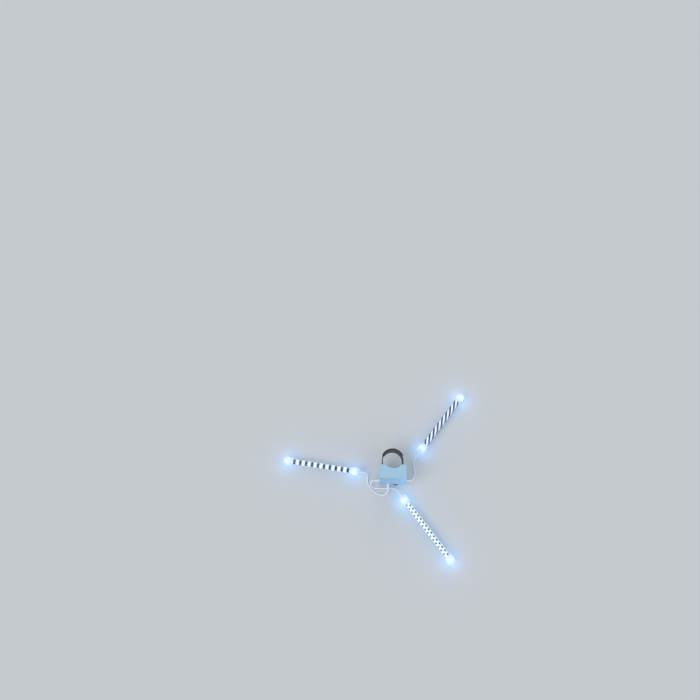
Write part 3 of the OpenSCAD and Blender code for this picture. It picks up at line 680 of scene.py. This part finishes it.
def rings(tree, value, edges, colours):
    """Colour by value, in sharp steps at the given edges."""
    ramp = add_node(tree, "ValToRGB", {"Fac": value})
    ramp.color_ramp.interpolation = "CONSTANT"
    stops = ramp.color_ramp.elements
    while len(stops) < len(colours):
        stops.new(0.5)
    for stop, edge, colour in zip(stops, [0, *edges], colours):
        stop.position = edge
        stop.color = (*colour, 1)
    return ramp.outputs["Color"]


def cell_sleeve(title, node, upright):
    """Shrink sleeve of a cell: steel ends, a dark blue body, a thin pale ring and a pale head."""
    made, tree, shader, place = start_finish(title)
    low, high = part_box(node)
    height = add_node(tree, "SeparateXYZ", {0: place}).outputs["Z"]
    ends = (low.z, high.z) if upright else (high.z, low.z)
    share = spread_node(tree, height, *ends, 0, 1)
    colour = rings(tree, share, SLEEVE_EDGES, SLEEVE_COLOURS)
    lay_skin(tree, shader, place, colour, tone=0.06, shine=(0.22, 0.35), grain=900)
    bare = [math_node(tree, "LESS_THAN", share, FOOT), math_node(tree, "GREATER_THAN", share, HEAD)]
    feed(tree, shader, {"Metallic": math_node(tree, "ADD", *bare)})
    return made


cell_finish = {}
for side, upright in (("left", True), ("middle", False), ("right", True)):
    cell_finish["cell_" + side] = cell_sleeve("cell_sleeve_" + side, "cell_" + side, upright)
print("cell sleeves", len(cell_finish))

# %% [markdown]
# ## Board and resistors
# Behind the cover lies a circuit board with copper tracks under green lacquer, and resistors with
# coloured rings. They are small and hidden, so a brick pattern is enough for the tracks and a ramp for
# the rings.

# %% Board and resistors
LACQUER_DARK, LACQUER = (0.02, 0.10, 0.05, 1), (0.03, 0.14, 0.07, 1)
TRACK, TRACK_CELLS = (0.05, 0.22, 0.11, 1), 260
SAND, RED, DARK, GOLD = (0.55, 0.44, 0.28), (0.4, 0.04, 0.03), (0.08, 0.05, 0.03), (0.5, 0.36, 0.10)
RING_EDGES = [0.2, 0.3, 0.4, 0.5, 0.6, 0.7, 0.8, 0.9]
RING_COLOURS = [SAND, RED, SAND, DARK, SAND, RED, SAND, GOLD, SAND]

board_finish, tree, shader, place = start_finish("lacquered_board", Coat_Weight=0.4)
flat = add_node(tree, "Mapping", {"Vector": place, "Rotation": (math.pi / 2, 0, 0)}).outputs[0]
tracks = add_node(tree, "TexBrick", {
    "Vector": flat, "Color1": LACQUER_DARK, "Color2": LACQUER, "Mortar": TRACK,
    "Scale": TRACK_CELLS, "Mortar Size": 0.03})
lay_skin(tree, shader, place, tracks.outputs["Color"], tone=0.08, shine=(0.25, 0.4), grain=1200)
raise_relief(tree, shader, tracks.outputs["Fac"], depth=0.03)

resistor_finish, tree, shader, place = start_finish("ringed_resistor")
low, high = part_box("resistors")
along = add_node(tree, "SeparateXYZ", {0: place}).outputs["X"]
share = spread_node(tree, along, low.x, high.x, 0, 1)
colour = rings(tree, share, RING_EDGES, RING_COLOURS)
lay_skin(tree, shader, place, colour, tone=0.1, shine=(0.3, 0.5), grain=2000)
print(board_finish.name, resistor_finish.name)

# %% [markdown]
# ## Finishes on the frame's own pieces
# A piece whose shape is right only gets its finish. The others get one too, and are replaced further down
# by copies with rounded edges or by soft pieces.

# %% Give the finishes
def give(piece, finish):
    """Puts one finish on a piece, in place of what it had."""
    piece.data.materials.clear()
    piece.data.materials.append(finish)


finish_of = {
    "pack_base": case_finish, "control_cover": case_finish, "battery_door": case_finish,
    "case_screws": steel_finish, "door_screw_low": steel_finish, "door_screw_top": steel_finish,
    "door_seal": rubber_finish, "saddle_pad": rubber_finish, "power_button": button_finish,
    "contact_plates": contact_finish, "contact_springs": contact_finish,
    "circuit_board": board_finish, "resistors": resistor_finish, "pack_wires": wire_finish,
    "switch_body": switch_finish, "switch_plunger": plunger_finish, "pack_reliefs": lead_finish,
    "strap_loop": rubber_finish, "strap_hook": rubber_finish, **cell_finish,
}
for name in STICKS:
    finish_of["tube_" + name] = tube_finish
    finish_of["film_" + name] = film_finish[name]
    finish_of["print_" + name] = ink_finish
    finish_of["wires_" + name] = tinned_finish
    finish_of["relief_" + name] = lead_finish
    for end in ("outer", "inner"):
        finish_of[end + "_cap_" + name] = cap_finish[name]
        finish_of[end + "_led_" + name] = diode_finish[name]
        finish_of[end + "_holder_" + name] = holder_finish[name]
    give(cords[name], lead_finish)
for node_name, finish in finish_of.items():
    give(nodes[node_name], finish)
give(floor, floor_finish)
print("finishes given to", len(finish_of), "nodes")

# %% [markdown]
# ## Copies of the frame's pieces
# Nothing that comes out of a mould has a knife edge, so the shells, caps and screws get rounds. The
# frame's own meshes stay as they are, so each piece is copied. A frame mesh is loose triangles: they are
# joined first, and flat ones are merged into whole faces, because a round needs clean edges to run along.

# %% Joined copies
JOIN_GAP = 0.002 * MM
FLAT_JOIN = math.radians(0.6)


def choose(piece):
    """Makes one object the only selected and the active one."""
    bpy.ops.object.select_all(action="DESELECT")
    piece.select_set(True)
    bpy.context.view_layer.objects.active = piece


def merged_copy(node, name):
    """Copy of a node's mesh, its loose triangles joined, as a new object."""
    piece = add_object(name, nodes[node].data.copy())
    piece.data.materials.clear()
    choose(piece)
    bpy.ops.mesh.customdata_custom_splitnormals_clear()
    bpy.ops.object.mode_set(mode="EDIT")
    bpy.ops.mesh.select_all(action="SELECT")
    bpy.ops.mesh.remove_doubles(threshold=JOIN_GAP)
    bpy.ops.mesh.dissolve_limited(angle_limit=FLAT_JOIN)
    bpy.ops.object.mode_set(mode="OBJECT")
    return piece


print("corners closer than", JOIN_GAP / MM, "mm are joined")

# %% [markdown]
# ## Edges with room for a round
# A bevel modifier would hold every round down to what the smallest detail can take. So the edges are
# picked in code: those that point outwards, are sharp and have room. The room is measured across both
# faces beside an edge, from its middle to the next bend.

# %% Edges with room
ROOM = 2.2
FLAT_ANGLE = math.radians(1)


def pick_edges(piece, angle, test):
    """Selects, in edit mode, the outward edges sharper than an angle in degrees that pass a test."""
    choose(piece)
    bpy.ops.object.mode_set(mode="EDIT")
    bpy.ops.mesh.select_mode(type="EDGE")
    bpy.ops.mesh.select_all(action="DESELECT")
    shape = bmesh.from_edit_mesh(piece.data)
    for edge in shape.edges:
        sharp = len(edge.link_faces) == 2 and edge.calc_face_angle_signed() > math.radians(angle)
        edge.select_set(sharp and test(edge))
    bmesh.update_edit_mesh(piece.data)


def depth_beside(loop):
    """Distance across a face from the middle of one of its edges to the next bend that lies opposite."""
    start, end = loop.vert.co, loop.link_loop_next.vert.co
    middle = (start + end) / 2
    along = (end - start).normalized()
    inward = loop.face.normal.cross(along)
    depths = []
    for other in loop.face.loops:
        first, second = other.vert.co - middle, other.link_loop_next.vert.co - middle
        before, after = first.dot(along), second.dot(along)
        bent = other != loop and other.edge.calc_face_angle(math.pi) > FLAT_ANGLE
        if bent and before * after <= 0 and before != after:
            depths.append(first.lerp(second, before / (before - after)).dot(inward))
    return min((depth for depth in depths if depth > 0), default=math.inf)


def has_room(edge, width):
    """True where both faces beside an edge are deep enough for a round, and no other round is near."""
    near = [face for vertex in edge.verts for face in vertex.link_faces]
    depth = min(depth_beside(loop) for loop in edge.link_loops)
    return depth > ROOM * width and not any(face.material_index for face in near)


print("a round needs", ROOM, "times its width")

# %% [markdown]
# ## Rounded edges
# Wide rounds come first, and fine ones follow where the wide ones had no room. The new faces go into a
# second material slot, which marks them for the worn finish, and weighted normals keep the flat faces
# flat. A corner that a round pushes out of the piece's box is brought back.

# %% Rounded edges
SHARP_ANGLE = 38
SMOOTH_ANGLE = math.radians(32)


def leave_edit():
    """Goes back to picking vertices and leaves edit mode."""
    bpy.ops.mesh.select_mode(type="VERT")
    bpy.ops.object.mode_set(mode="OBJECT")


def roll_edges(piece, width, segments):
    """Rounds what is selected, puts the new faces into a second slot and leaves edit mode."""
    while len(piece.data.materials) < 2:
        piece.data.materials.append(None)
    bpy.ops.mesh.bevel(offset=width, segments=segments, affect="EDGES", clamp_overlap=False,
                       loop_slide=False, material=1)
    leave_edit()


def mark_rounds(piece):
    """Writes the second slot's faces into an attribute and empties the slot."""
    marks = piece.data.attributes.new("rounded", "FLOAT", "FACE")
    for face in piece.data.polygons:
        marks.data[face.index].value = face.material_index
        face.material_index = 0


def round_edges(piece, *widths, angle=SHARP_ANGLE, segments=3):
    """Rounds the edges sharper than an angle by each width, in millimetres, and marks the new faces."""
    for width in widths:
        pick_edges(piece, angle, lambda edge: has_room(edge, width * MM))
        roll_edges(piece, width * MM, segments)
    bpy.ops.object.mode_set(mode="EDIT")
    bpy.ops.mesh.select_all(action="SELECT")
    bpy.ops.mesh.dissolve_degenerate(threshold=JOIN_GAP)
    bpy.ops.object.mode_set(mode="OBJECT")
    bpy.ops.object.shade_smooth_by_angle(angle=SMOOTH_ANGLE)
    flat = piece.modifiers.new("flat_faces", "WEIGHTED_NORMAL")
    flat.keep_sharp = True
    bpy.ops.object.modifier_apply(modifier=flat.name)
    mark_rounds(piece)


def hold_in_box(piece, node):
    """Brings corners that a round pushed out back into the box of the node."""
    low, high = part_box(node)
    for vertex in piece.data.vertices:
        for axis in range(3):
            vertex.co[axis] = min(max(vertex.co[axis], low[axis]), high[axis])


print("edges sharper than", SHARP_ANGLE, "degrees are rounded")

# %% [markdown]
# ## Rounded pieces
# The cover, the door, the button, the seal, the screws and the caps of the sticks are all rounded in the
# same way, so one table lists them: the node, the new piece, its finish, the body it moves with, its
# slot, and the widths of its rounds in millimetres.

# %% Rounded pieces
def settle(piece, finish, body, slot, *replaced):
    """Gives a piece its finish, hangs it from the body it moves with and hides the nodes it replaces."""
    give(piece, finish)
    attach(piece, body)
    if replaced:
        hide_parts(*replaced)


ROUNDED = [
    ("control_cover", "case_cover", case_finish, "kit", "case", (0.3, 0.12)),
    ("battery_door", "case_door", case_finish, "battery_door", "case", (0.3, 0.12)),
    ("power_button", "button_cap", button_finish, "power_button", "rubber", (0.25, 0.12)),
    ("door_seal", "seal_bead", rubber_finish, "battery_door", "rubber", (0.12,)),
    ("case_screws", "cover_screws", steel_finish, "kit", "steel", (0.3, 0.08)),
    ("door_screw_low", "low_screw", steel_finish, "door_screw_low", "steel", (0.3, 0.08)),
    ("door_screw_top", "top_screw", steel_finish, "door_screw_top", "steel", (0.3, 0.08)),
]
for name in STICKS:
    for old, new in (("outer_cap_", "lens_cap_"), ("inner_cap_", "entry_cap_")):
        ROUNDED.append((old + name, new + name, cap_finish[name], "kit", "cap", (0.3, 0.12)))
for node_name, piece_name, finish, body, slot, widths in ROUNDED:
    shell = merged_copy(node_name, piece_name)
    round_edges(shell, *widths)
    hold_in_box(shell, node_name)
    settle(shell, finish, body, slot, node_name)
    print(piece_name, "faces", len(shell.data.polygons))

# %% [markdown]
# ## Tub of the case
# The door and the cover have round corners, so the tub behind them needs the same along its four long
# corners. A wide bevel there would tangle with the round back. So a block with round corners is made, as
# a mould would be, and a boolean keeps what the frame's own tub and the block share: holes, posts and
# slots stay.

# %% Tub with round corners
CORNER_ROUND = 2 * MM
CORNER_SEGMENTS = 8
MOULD_PLAY = 0.01 * MM


def runs_along_y(edge):
    """True for the long edges of the block, which run along Y."""
    return abs(edge.verts[0].co.y - edge.verts[1].co.y) > CORNER_ROUND


def corner_mould(low, high):
    """Block that is a little wider than a box, with its four edges along Y rounded."""
    play = Vector((MOULD_PLAY, CORNER_ROUND, MOULD_PLAY))
    bpy.ops.object.select_all(action="DESELECT")
    bpy.ops.mesh.primitive_cube_add(size=1, location=(low + high) / 2)
    block = bpy.context.object
    block.scale = high - low + 2 * play
    bpy.ops.object.transform_apply()
    pick_edges(block, SHARP_ANGLE, runs_along_y)
    roll_edges(block, CORNER_ROUND, CORNER_SEGMENTS)
    return block


case_tub = merged_copy("pack_base", "case_tub")
mould = corner_mould(*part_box("pack_base"))
choose(case_tub)
cut = case_tub.modifiers.new("corners", "BOOLEAN")
cut.operation = "INTERSECT"
cut.object = mould
bpy.ops.object.modifier_apply(modifier=cut.name)
bpy.data.objects.remove(mould)
for face in case_tub.data.polygons:
    face.material_index = 0
round_edges(case_tub, 0.4, 0.12)
hold_in_box(case_tub, "pack_base")
settle(case_tub, case_finish, "kit", "case", "pack_base")
print("tub faces", len(case_tub.data.polygons))

# %% [markdown]
# ## Woven tape
# The strap's tape is woven in a chevron: fine ribs run along it, and slanted floats cross them in a
# zigzag. A fabric picture would tile, so the weave is worked out from the tape's own map, in metres along
# and across: the zigzag is a ping-pong of the width, added to the length inside a sine.

# %% Woven tape
FLOAT_RISE, RIB_RISE = 0.32, 0.14
THREAD_CELLS, THREAD_TONE = 1200, (0.75, 1.1)
TAPE_SHINE = (0.85, 0.60)

# The first colour goes in the hollows of the weave as painted shade, the second on its raised threads as
# painted light.
tree, given, out = start_group(
    "Woven tape",
    [("Vector", "Vector", None), ("Shaded thread", "Color", (0.02, 0.02, 0.02, 1)),
     ("Float", "Color", (0.08, 0.08, 0.08, 1)), ("Pitch", "Float", 1.1), ("Chevron", "Float", 2.5)],
    [("Colour", "Color"), ("Height", "Float"), ("Roughness", "Float")])
split = add_node(tree, "SeparateXYZ", {0: given["Vector"]}).outputs
pitch = math_node(tree, "MULTIPLY", given["Pitch"], MM)
width = math_node(tree, "MULTIPLY", given["Chevron"], MM)
slant = math_node(tree, "PINGPONG", split["Y"], width)
turns = math_node(tree, "DIVIDE", math_node(tree, "ADD", split["X"], slant), pitch)
floats = math_node(tree, "SINE", math_node(tree, "MULTIPLY", turns, 2 * math.pi))
across = math_node(tree, "DIVIDE", split["Y"], pitch)
ribs = math_node(tree, "SINE", math_node(tree, "MULTIPLY", across, 4 * math.pi))
both = math_node(tree, "ADD", math_node(tree, "MULTIPLY", floats, FLOAT_RISE),
                 math_node(tree, "MULTIPLY", ribs, RIB_RISE))
height = math_node(tree, "ADD", both, 0.5, clamp=True)
spun = noise_node(tree, given["Vector"], THREAD_CELLS, 3)
uneven = spread_node(tree, spun, *NOISE_RANGE, *THREAD_TONE)
# Painted light and shade: the colour is paler on the raised threads and darker in the hollows between
# them, by the weave's height; the noise adds the threads' real uneven tone.
lit_tops_and_tone = math_node(tree, "MULTIPLY", height, uneven)
feed(tree, out, {
    "Colour": mix_node(tree, lit_tops_and_tone, given["Shaded thread"], given["Float"]),
    "Roughness": spread_node(tree, height, 0, 1, *TAPE_SHINE),
    "Height": height})
woven_tape = tree
print(woven_tape.name, "made")

# %% [markdown]
# ## Finishes of the strap
# One side of the tape shows the weave. The other carries a short looped fuzz without any order, so it is
# noise with a deep relief. The seams are sewn with a waxed thread that is a little paler.

# %% Strap finishes
# The tape's two colours are the ends of its painted shading: dark for the hollows of the weave, pale for
# its raised threads.
TAPE_SHADED_THREAD, TAPE_LIT_FLOAT = (0.010, 0.010, 0.012, 1), (0.050, 0.052, 0.058, 1)
# The pile's two colours are painted shade where it is low and painted light on its tops.
PILE_SHADED_DEEP, PILE_LIT_TOP = (0.008, 0.008, 0.010, 1), (0.060, 0.062, 0.068, 1)
PILE_CELLS, PILE_RANGE, PILE_SHINE = 2600, (0.35, 0.65), (0.95, 0.75)
TAPE_RELIEF, PILE_RELIEF = 0.12, 0.25

tape_finish, tree, shader, _ = start_finish("woven_tape", Sheen_Weight=0.25, Sheen_Roughness=0.4)
laid = add_node(tree, "UVMap", uv_map="tape").outputs[0]
cloth = lay_group(tree, shader, woven_tape, {
    "Vector": laid, "Shaded thread": TAPE_SHADED_THREAD, "Float": TAPE_LIT_FLOAT})
raise_relief(tree, shader, cloth["Height"], TAPE_RELIEF)

pile_finish, tree, shader, place = start_finish("loop_pile", Sheen_Weight=0.5, Sheen_Roughness=0.6)
fuzz = noise_node(tree, place, PILE_CELLS, 4)
# Painted shade: the noise that raises the pile also colours it, darker where the pile is low and paler
# where it is high.
lit_tops_share = spread_node(tree, fuzz, *PILE_RANGE, 0, 1)
feed(tree, shader, {
    "Base Color": mix_node(tree, lit_tops_share, PILE_SHADED_DEEP, PILE_LIT_TOP),
    "Roughness": spread_node(tree, fuzz, *NOISE_RANGE, *PILE_SHINE)})
raise_relief(tree, shader, fuzz, PILE_RELIEF)

thread_finish = moulded("waxed_thread", (0.15, 0.155, 0.165), 0.2, (0.45, 0.60), 5200)
print(tape_finish.name, pile_finish.name, thread_finish.name)

# %% [markdown]
# ## Bands of the strap
# The strap is two lengths of tape. One end of each is sewn into an eye round a bar of the pack; the free
# ends lap and hold by hooks in the fuzz. A bent box would show neither eye nor lap, so the tape's section
# is drawn once, spun round the bar, pulled up the leg and spun on along the arc.

# %% Strap bands
TOUCH = 0.01 * MM
TAPE_WIDTH = 20 * MM
TAPE_THICK = 1.1 * MM
TAPE_MIDDLE = 14.6 * MM
BAR_X, BAR_Y = 12.95 * MM, -13.5 * MM
EYE_TURN, EYE_STEPS = math.radians(305), 20
LOOP_ARC, HOOK_ARC, ARC_STEPS = math.radians(147), math.radians(155), 62


def pick(piece, kind, test):
    """Selects, in edit mode, the vertices or faces that pass a test."""
    bpy.ops.object.mode_set(mode="EDIT")
    bpy.ops.mesh.select_mode(type=kind)
    bpy.ops.mesh.select_all(action="DESELECT")
    bpy.ops.object.mode_set(mode="OBJECT")
    parts = piece.data.vertices if kind == "VERT" else piece.data.polygons
    for part in parts:
        part.select = test(part)
    bpy.ops.object.mode_set(mode="EDIT")


def flat_outline(name, place, width, height):
    """Outline of an upright rectangle that faces along Y, left in edit mode and selected."""
    bpy.ops.object.select_all(action="DESELECT")
    bpy.ops.mesh.primitive_plane_add(size=1, location=place, rotation=(math.pi / 2, 0, 0))
    piece = bpy.context.object
    piece.name = piece.data.name = name
    piece.scale = (width, height, 1)
    bpy.ops.object.transform_apply()
    bpy.ops.object.mode_set(mode="EDIT")
    bpy.ops.mesh.select_mode(type="VERT")
    bpy.ops.mesh.delete(type="ONLY_FACE")
    bpy.ops.mesh.select_all(action="SELECT")
    return piece


def spin(steps, angle, centre=(0, 0, 0)):
    """Sweeps what is selected round an upright axis."""
    bpy.ops.mesh.spin(steps=steps, angle=angle, center=centre, axis=(0, 0, 1))


def close_ends():
    """Fills the open ends, turns the faces outwards and leaves edit mode."""
    bpy.ops.mesh.select_all(action="SELECT")
    bpy.ops.mesh.remove_doubles(threshold=JOIN_GAP)
    bpy.ops.mesh.fill_holes(sides=8)
    bpy.ops.mesh.normals_make_consistent(inside=False)
    bpy.ops.object.mode_set(mode="OBJECT")


def strap_band(name, side, arc):
    """Tape with its eye, leg and arc, closed at both ends."""
    piece = flat_outline(name, (side * TAPE_MIDDLE, BAR_Y, 0), TAPE_THICK, TAPE_WIDTH)
    spin(EYE_STEPS, side * EYE_TURN, (side * BAR_X, BAR_Y, 0))
    pick(piece, "VERT", lambda vertex: abs(vertex.co.y - BAR_Y) < TOUCH and side * vertex.co.x > BAR_X)
    bpy.ops.mesh.extrude_region_move(TRANSFORM_OT_translate={"value": (0, -BAR_Y, 0)})
    spin(ARC_STEPS, -side * arc)
    close_ends()
    return piece


strap_inner = strap_band("strap_inner", 1, LOOP_ARC)
strap_outer = strap_band("strap_outer", -1, HOOK_ARC)
print("strap bands", len(strap_inner.data.polygons), len(strap_outer.data.polygons))

# %% [markdown]
# ## Lap of the strap
# The outer band's free end has to lie on the inner band, not in it. It is lifted in a smooth step just
# before the lap, and its two corners are cut round, so that they don't catch.

# %% Lap
LAP_RISE = 1.25 * MM
LAP_FROM, LAP_TO = math.radians(161), math.radians(150)
LAP_END = math.pi - HOOK_ARC
LAP_CORNER, LAP_SEGMENTS = 4 * MM, 5
NEAR_ANGLE = 0.01


def lift_lap(piece):
    """Moves the free end outwards, so that it lies on the other band."""
    for vertex in piece.data.vertices:
        if vertex.co.y > 0:
            turn = math.atan2(vertex.co.y, vertex.co.x)
            share = min(max((LAP_FROM - turn) / (LAP_FROM - LAP_TO), 0), 1)
            rise = LAP_RISE * share * share * (3 - 2 * share)
            vertex.co += Vector((vertex.co.x, vertex.co.y, 0)).normalized() * rise


def at_lap_corner(edge):
    """True for the two short edges of the free end that run through the tape's thickness."""
    first, second = (vertex.co for vertex in edge.verts)
    at_end = all(abs(math.atan2(p.y, p.x) - LAP_END) < NEAR_ANGLE for p in (first, second))
    return at_end and abs(first.z - second.z) < TOUCH


lift_lap(strap_outer)
pick_edges(strap_outer, SHARP_ANGLE, at_lap_corner)
bpy.ops.mesh.bevel(offset=LAP_CORNER, segments=LAP_SEGMENTS, affect="EDGES", clamp_overlap=False)
leave_edit()
print("lap lifted by", LAP_RISE / MM, "mm")

# %% [markdown]
# ## Map of the tape
# The weave reads a map that runs along the tape and across it, so it bends where the tape bends.
# Unwrapping would stretch the eye, so the length is worked out from the arc, the leg and the eye. The
# outer face of the inner band's arc is the fuzzy side.

# %% Map of the tape
TAPE_ROUND, TAPE_ANGLE = 0.3, 50
PILE_FROM = 1 * MM
FACING = 0.9


def along_tape(place, side):
    """Length along the tape at a point, from the start of its arc."""
    across = side * place.x
    if place.y >= 0:
        return TAPE_MIDDLE * math.atan2(place.y, across)
    if place.y > BAR_Y and across > BAR_X:
        return place.y
    turned = -math.atan2(place.y - BAR_Y, across - BAR_X) % (2 * math.pi)
    return BAR_Y - (TAPE_MIDDLE - BAR_X) * turned


def map_tape(piece, side):
    """Lays the map along and across the tape, in metres."""
    chart = piece.data.uv_layers.new(name="tape")
    for loop in piece.data.loops:
        place = piece.data.vertices[loop.vertex_index].co
        chart.data[loop.index].uv = (along_tape(place, side), place.z)


for band, side, node_name in ((strap_inner, 1, "strap_loop"), (strap_outer, -1, "strap_hook")):
    round_edges(band, TAPE_ROUND, angle=TAPE_ANGLE)
    map_tape(band, side)
    settle(band, tape_finish, "kit", "strap", node_name)
strap_inner.data.materials.append(pile_finish)
for face in strap_inner.data.polygons:
    out = Vector((face.center.x, face.center.y, 0)).normalized()
    if face.center.y > PILE_FROM and face.normal.dot(out) > FACING:
        face.material_index = 1
print("strap faces", len(strap_inner.data.polygons), len(strap_outer.data.polygons))

# %% [markdown]
# ## Stitches
# A box of stitches closes each eye of the strap, and one row holds the hook patch at the lap. A line of
# bump would vanish from the side, so one stitch is modelled as a short thread with sunk ends and copied
# along rows.

# %% Stitches
STITCH_LENGTH = 1.9 * MM
STITCH_STRAIGHT, STITCH_TIP = 0.6, 0.6
STITCH_PITCH = 2.5 * MM
THREAD_RADIUS, THREAD_SIDES = 0.2 * MM, 8
THREAD_SMOOTH = math.radians(60)


def model_stitch():
    """Short thread along Z whose ends taper towards the cloth."""
    bpy.ops.object.select_all(action="DESELECT")
    straight = STITCH_LENGTH * STITCH_STRAIGHT
    bpy.ops.mesh.primitive_cylinder_add(vertices=THREAD_SIDES, radius=THREAD_RADIUS, depth=straight)
    piece = bpy.context.object
    for end in (-1, 1):
        pick(piece, "FACE", lambda face: face.normal.z * end > FACING)
        reach = end * (STITCH_LENGTH - straight) / 2
        bpy.ops.mesh.extrude_region_move(
            TRANSFORM_OT_translate={"value": (-THREAD_RADIUS / 2, 0, reach)})
        bpy.ops.transform.resize(value=(STITCH_TIP, STITCH_TIP, 1))
    leave_edit()
    bpy.ops.object.shade_smooth_by_angle(angle=THREAD_SMOOTH)
    return piece


def sew(model, points, out):
    """Copies of a stitch along the lines from point to point, their tops facing out."""
    made = []
    for start, end in zip(points, points[1:]):
        span = end - start
        heading = span.normalized()
        turn = Matrix((out, heading.cross(out), heading)).transposed().to_4x4()
        count = max(round(span.length / STITCH_PITCH), 1)
        for i in range(count):
            thread = add_object("stitch", model.data.copy())
            thread.matrix_world = Matrix.Translation(start + span * ((i + 0.5) / count)) @ turn
            made.append(thread)
    return made


stitch = model_stitch()
print("stitch faces", len(stitch.data.polygons))

# %% [markdown]
# ## Seams
# The boxes are sewn through the legs, so they show on both faces of the tape, and the row at the lap only
# on the outer one. All stitches are joined into one piece, so that they take one finish and move as one.

# %% Seams
BOX_LOW, BOX_HIGH = -8.5 * MM, -1.5 * MM
ROW_Z = 8 * MM
LAP_ROW = LAP_END + math.radians(22)
BOX = [(BOX_LOW, -ROW_Z), (BOX_HIGH, -ROW_Z), (BOX_HIGH, ROW_Z), (BOX_LOW, ROW_Z), (BOX_LOW, -ROW_Z)]

threads = []
for side in (1, -1):
    for face in (1, -1):
        x = side * (TAPE_MIDDLE + face * TAPE_THICK / 2)
        threads += sew(stitch, [Vector((x, y, z)) for y, z in BOX], Vector((side * face, 0, 0)))
out = Vector((math.cos(LAP_ROW), math.sin(LAP_ROW), 0))
place = out * (TAPE_MIDDLE + LAP_RISE + TAPE_THICK / 2)
up = Vector((0, 0, ROW_Z))
threads += sew(stitch, [place - up, place + up], out)
bpy.data.objects.remove(stitch)

choose(threads[0])
for thread in threads:
    thread.select_set(True)
bpy.ops.object.join()
strap_stitches = bpy.context.object
strap_stitches.name = strap_stitches.data.name = "strap_stitches"
bpy.ops.object.transform_apply()
settle(strap_stitches, thread_finish, "kit", "strap")
print("stitches", len(threads))

# %% [markdown]
# ## Ribbed pad
# A moulded rubber pad lines the trough so that the pack can't turn. Its ribs run along the trough. The
# pad is a spun band; every second strip of its inner face is inset and pushed back, which leaves the ribs
# standing. Bump would do from afar, but the ribs show in outline at the pad's ends.

# %% Ribbed pad
PAD_INNER, PAD_OUTER = 14.02 * MM, 14.96 * MM
PAD_HALF_ANGLE = math.radians(39.5)
PAD_LENGTH = 56 * MM
PAD_STRIPS = 25
GROOVE_DEPTH, GROOVE_EDGE = 0.42 * MM, 0.12 * MM
PAD_ROUND, PAD_ANGLE = 0.08, 40


def in_groove(face):
    """True for every second strip of the pad's inner face."""
    middle = Vector((face.center.x, face.center.y, 0))
    turn = math.atan2(middle.y, middle.x) + math.pi / 2 + PAD_HALF_ANGLE
    inward = face.normal.dot(middle.normalized()) < -FACING
    return inward and int(turn / (2 * PAD_HALF_ANGLE / PAD_STRIPS)) % 2 == 1


middle = (PAD_INNER + PAD_OUTER) / 2
hub_pad = flat_outline("hub_pad", (middle, 0, 0), PAD_OUTER - PAD_INNER, PAD_LENGTH)
bpy.ops.transform.rotate(value=math.pi / 2 + PAD_HALF_ANGLE, orient_axis="Z", center_override=(0, 0, 0))
spin(PAD_STRIPS, -2 * PAD_HALF_ANGLE)
close_ends()
pick(hub_pad, "FACE", in_groove)
bpy.ops.mesh.inset(thickness=GROOVE_EDGE, depth=-GROOVE_DEPTH, use_individual=True)
leave_edit()
round_edges(hub_pad, PAD_ROUND, angle=PAD_ANGLE, segments=2)
settle(hub_pad, rubber_finish, "kit", "rubber", "saddle_pad")
print("pad faces", len(hub_pad.data.polygons))
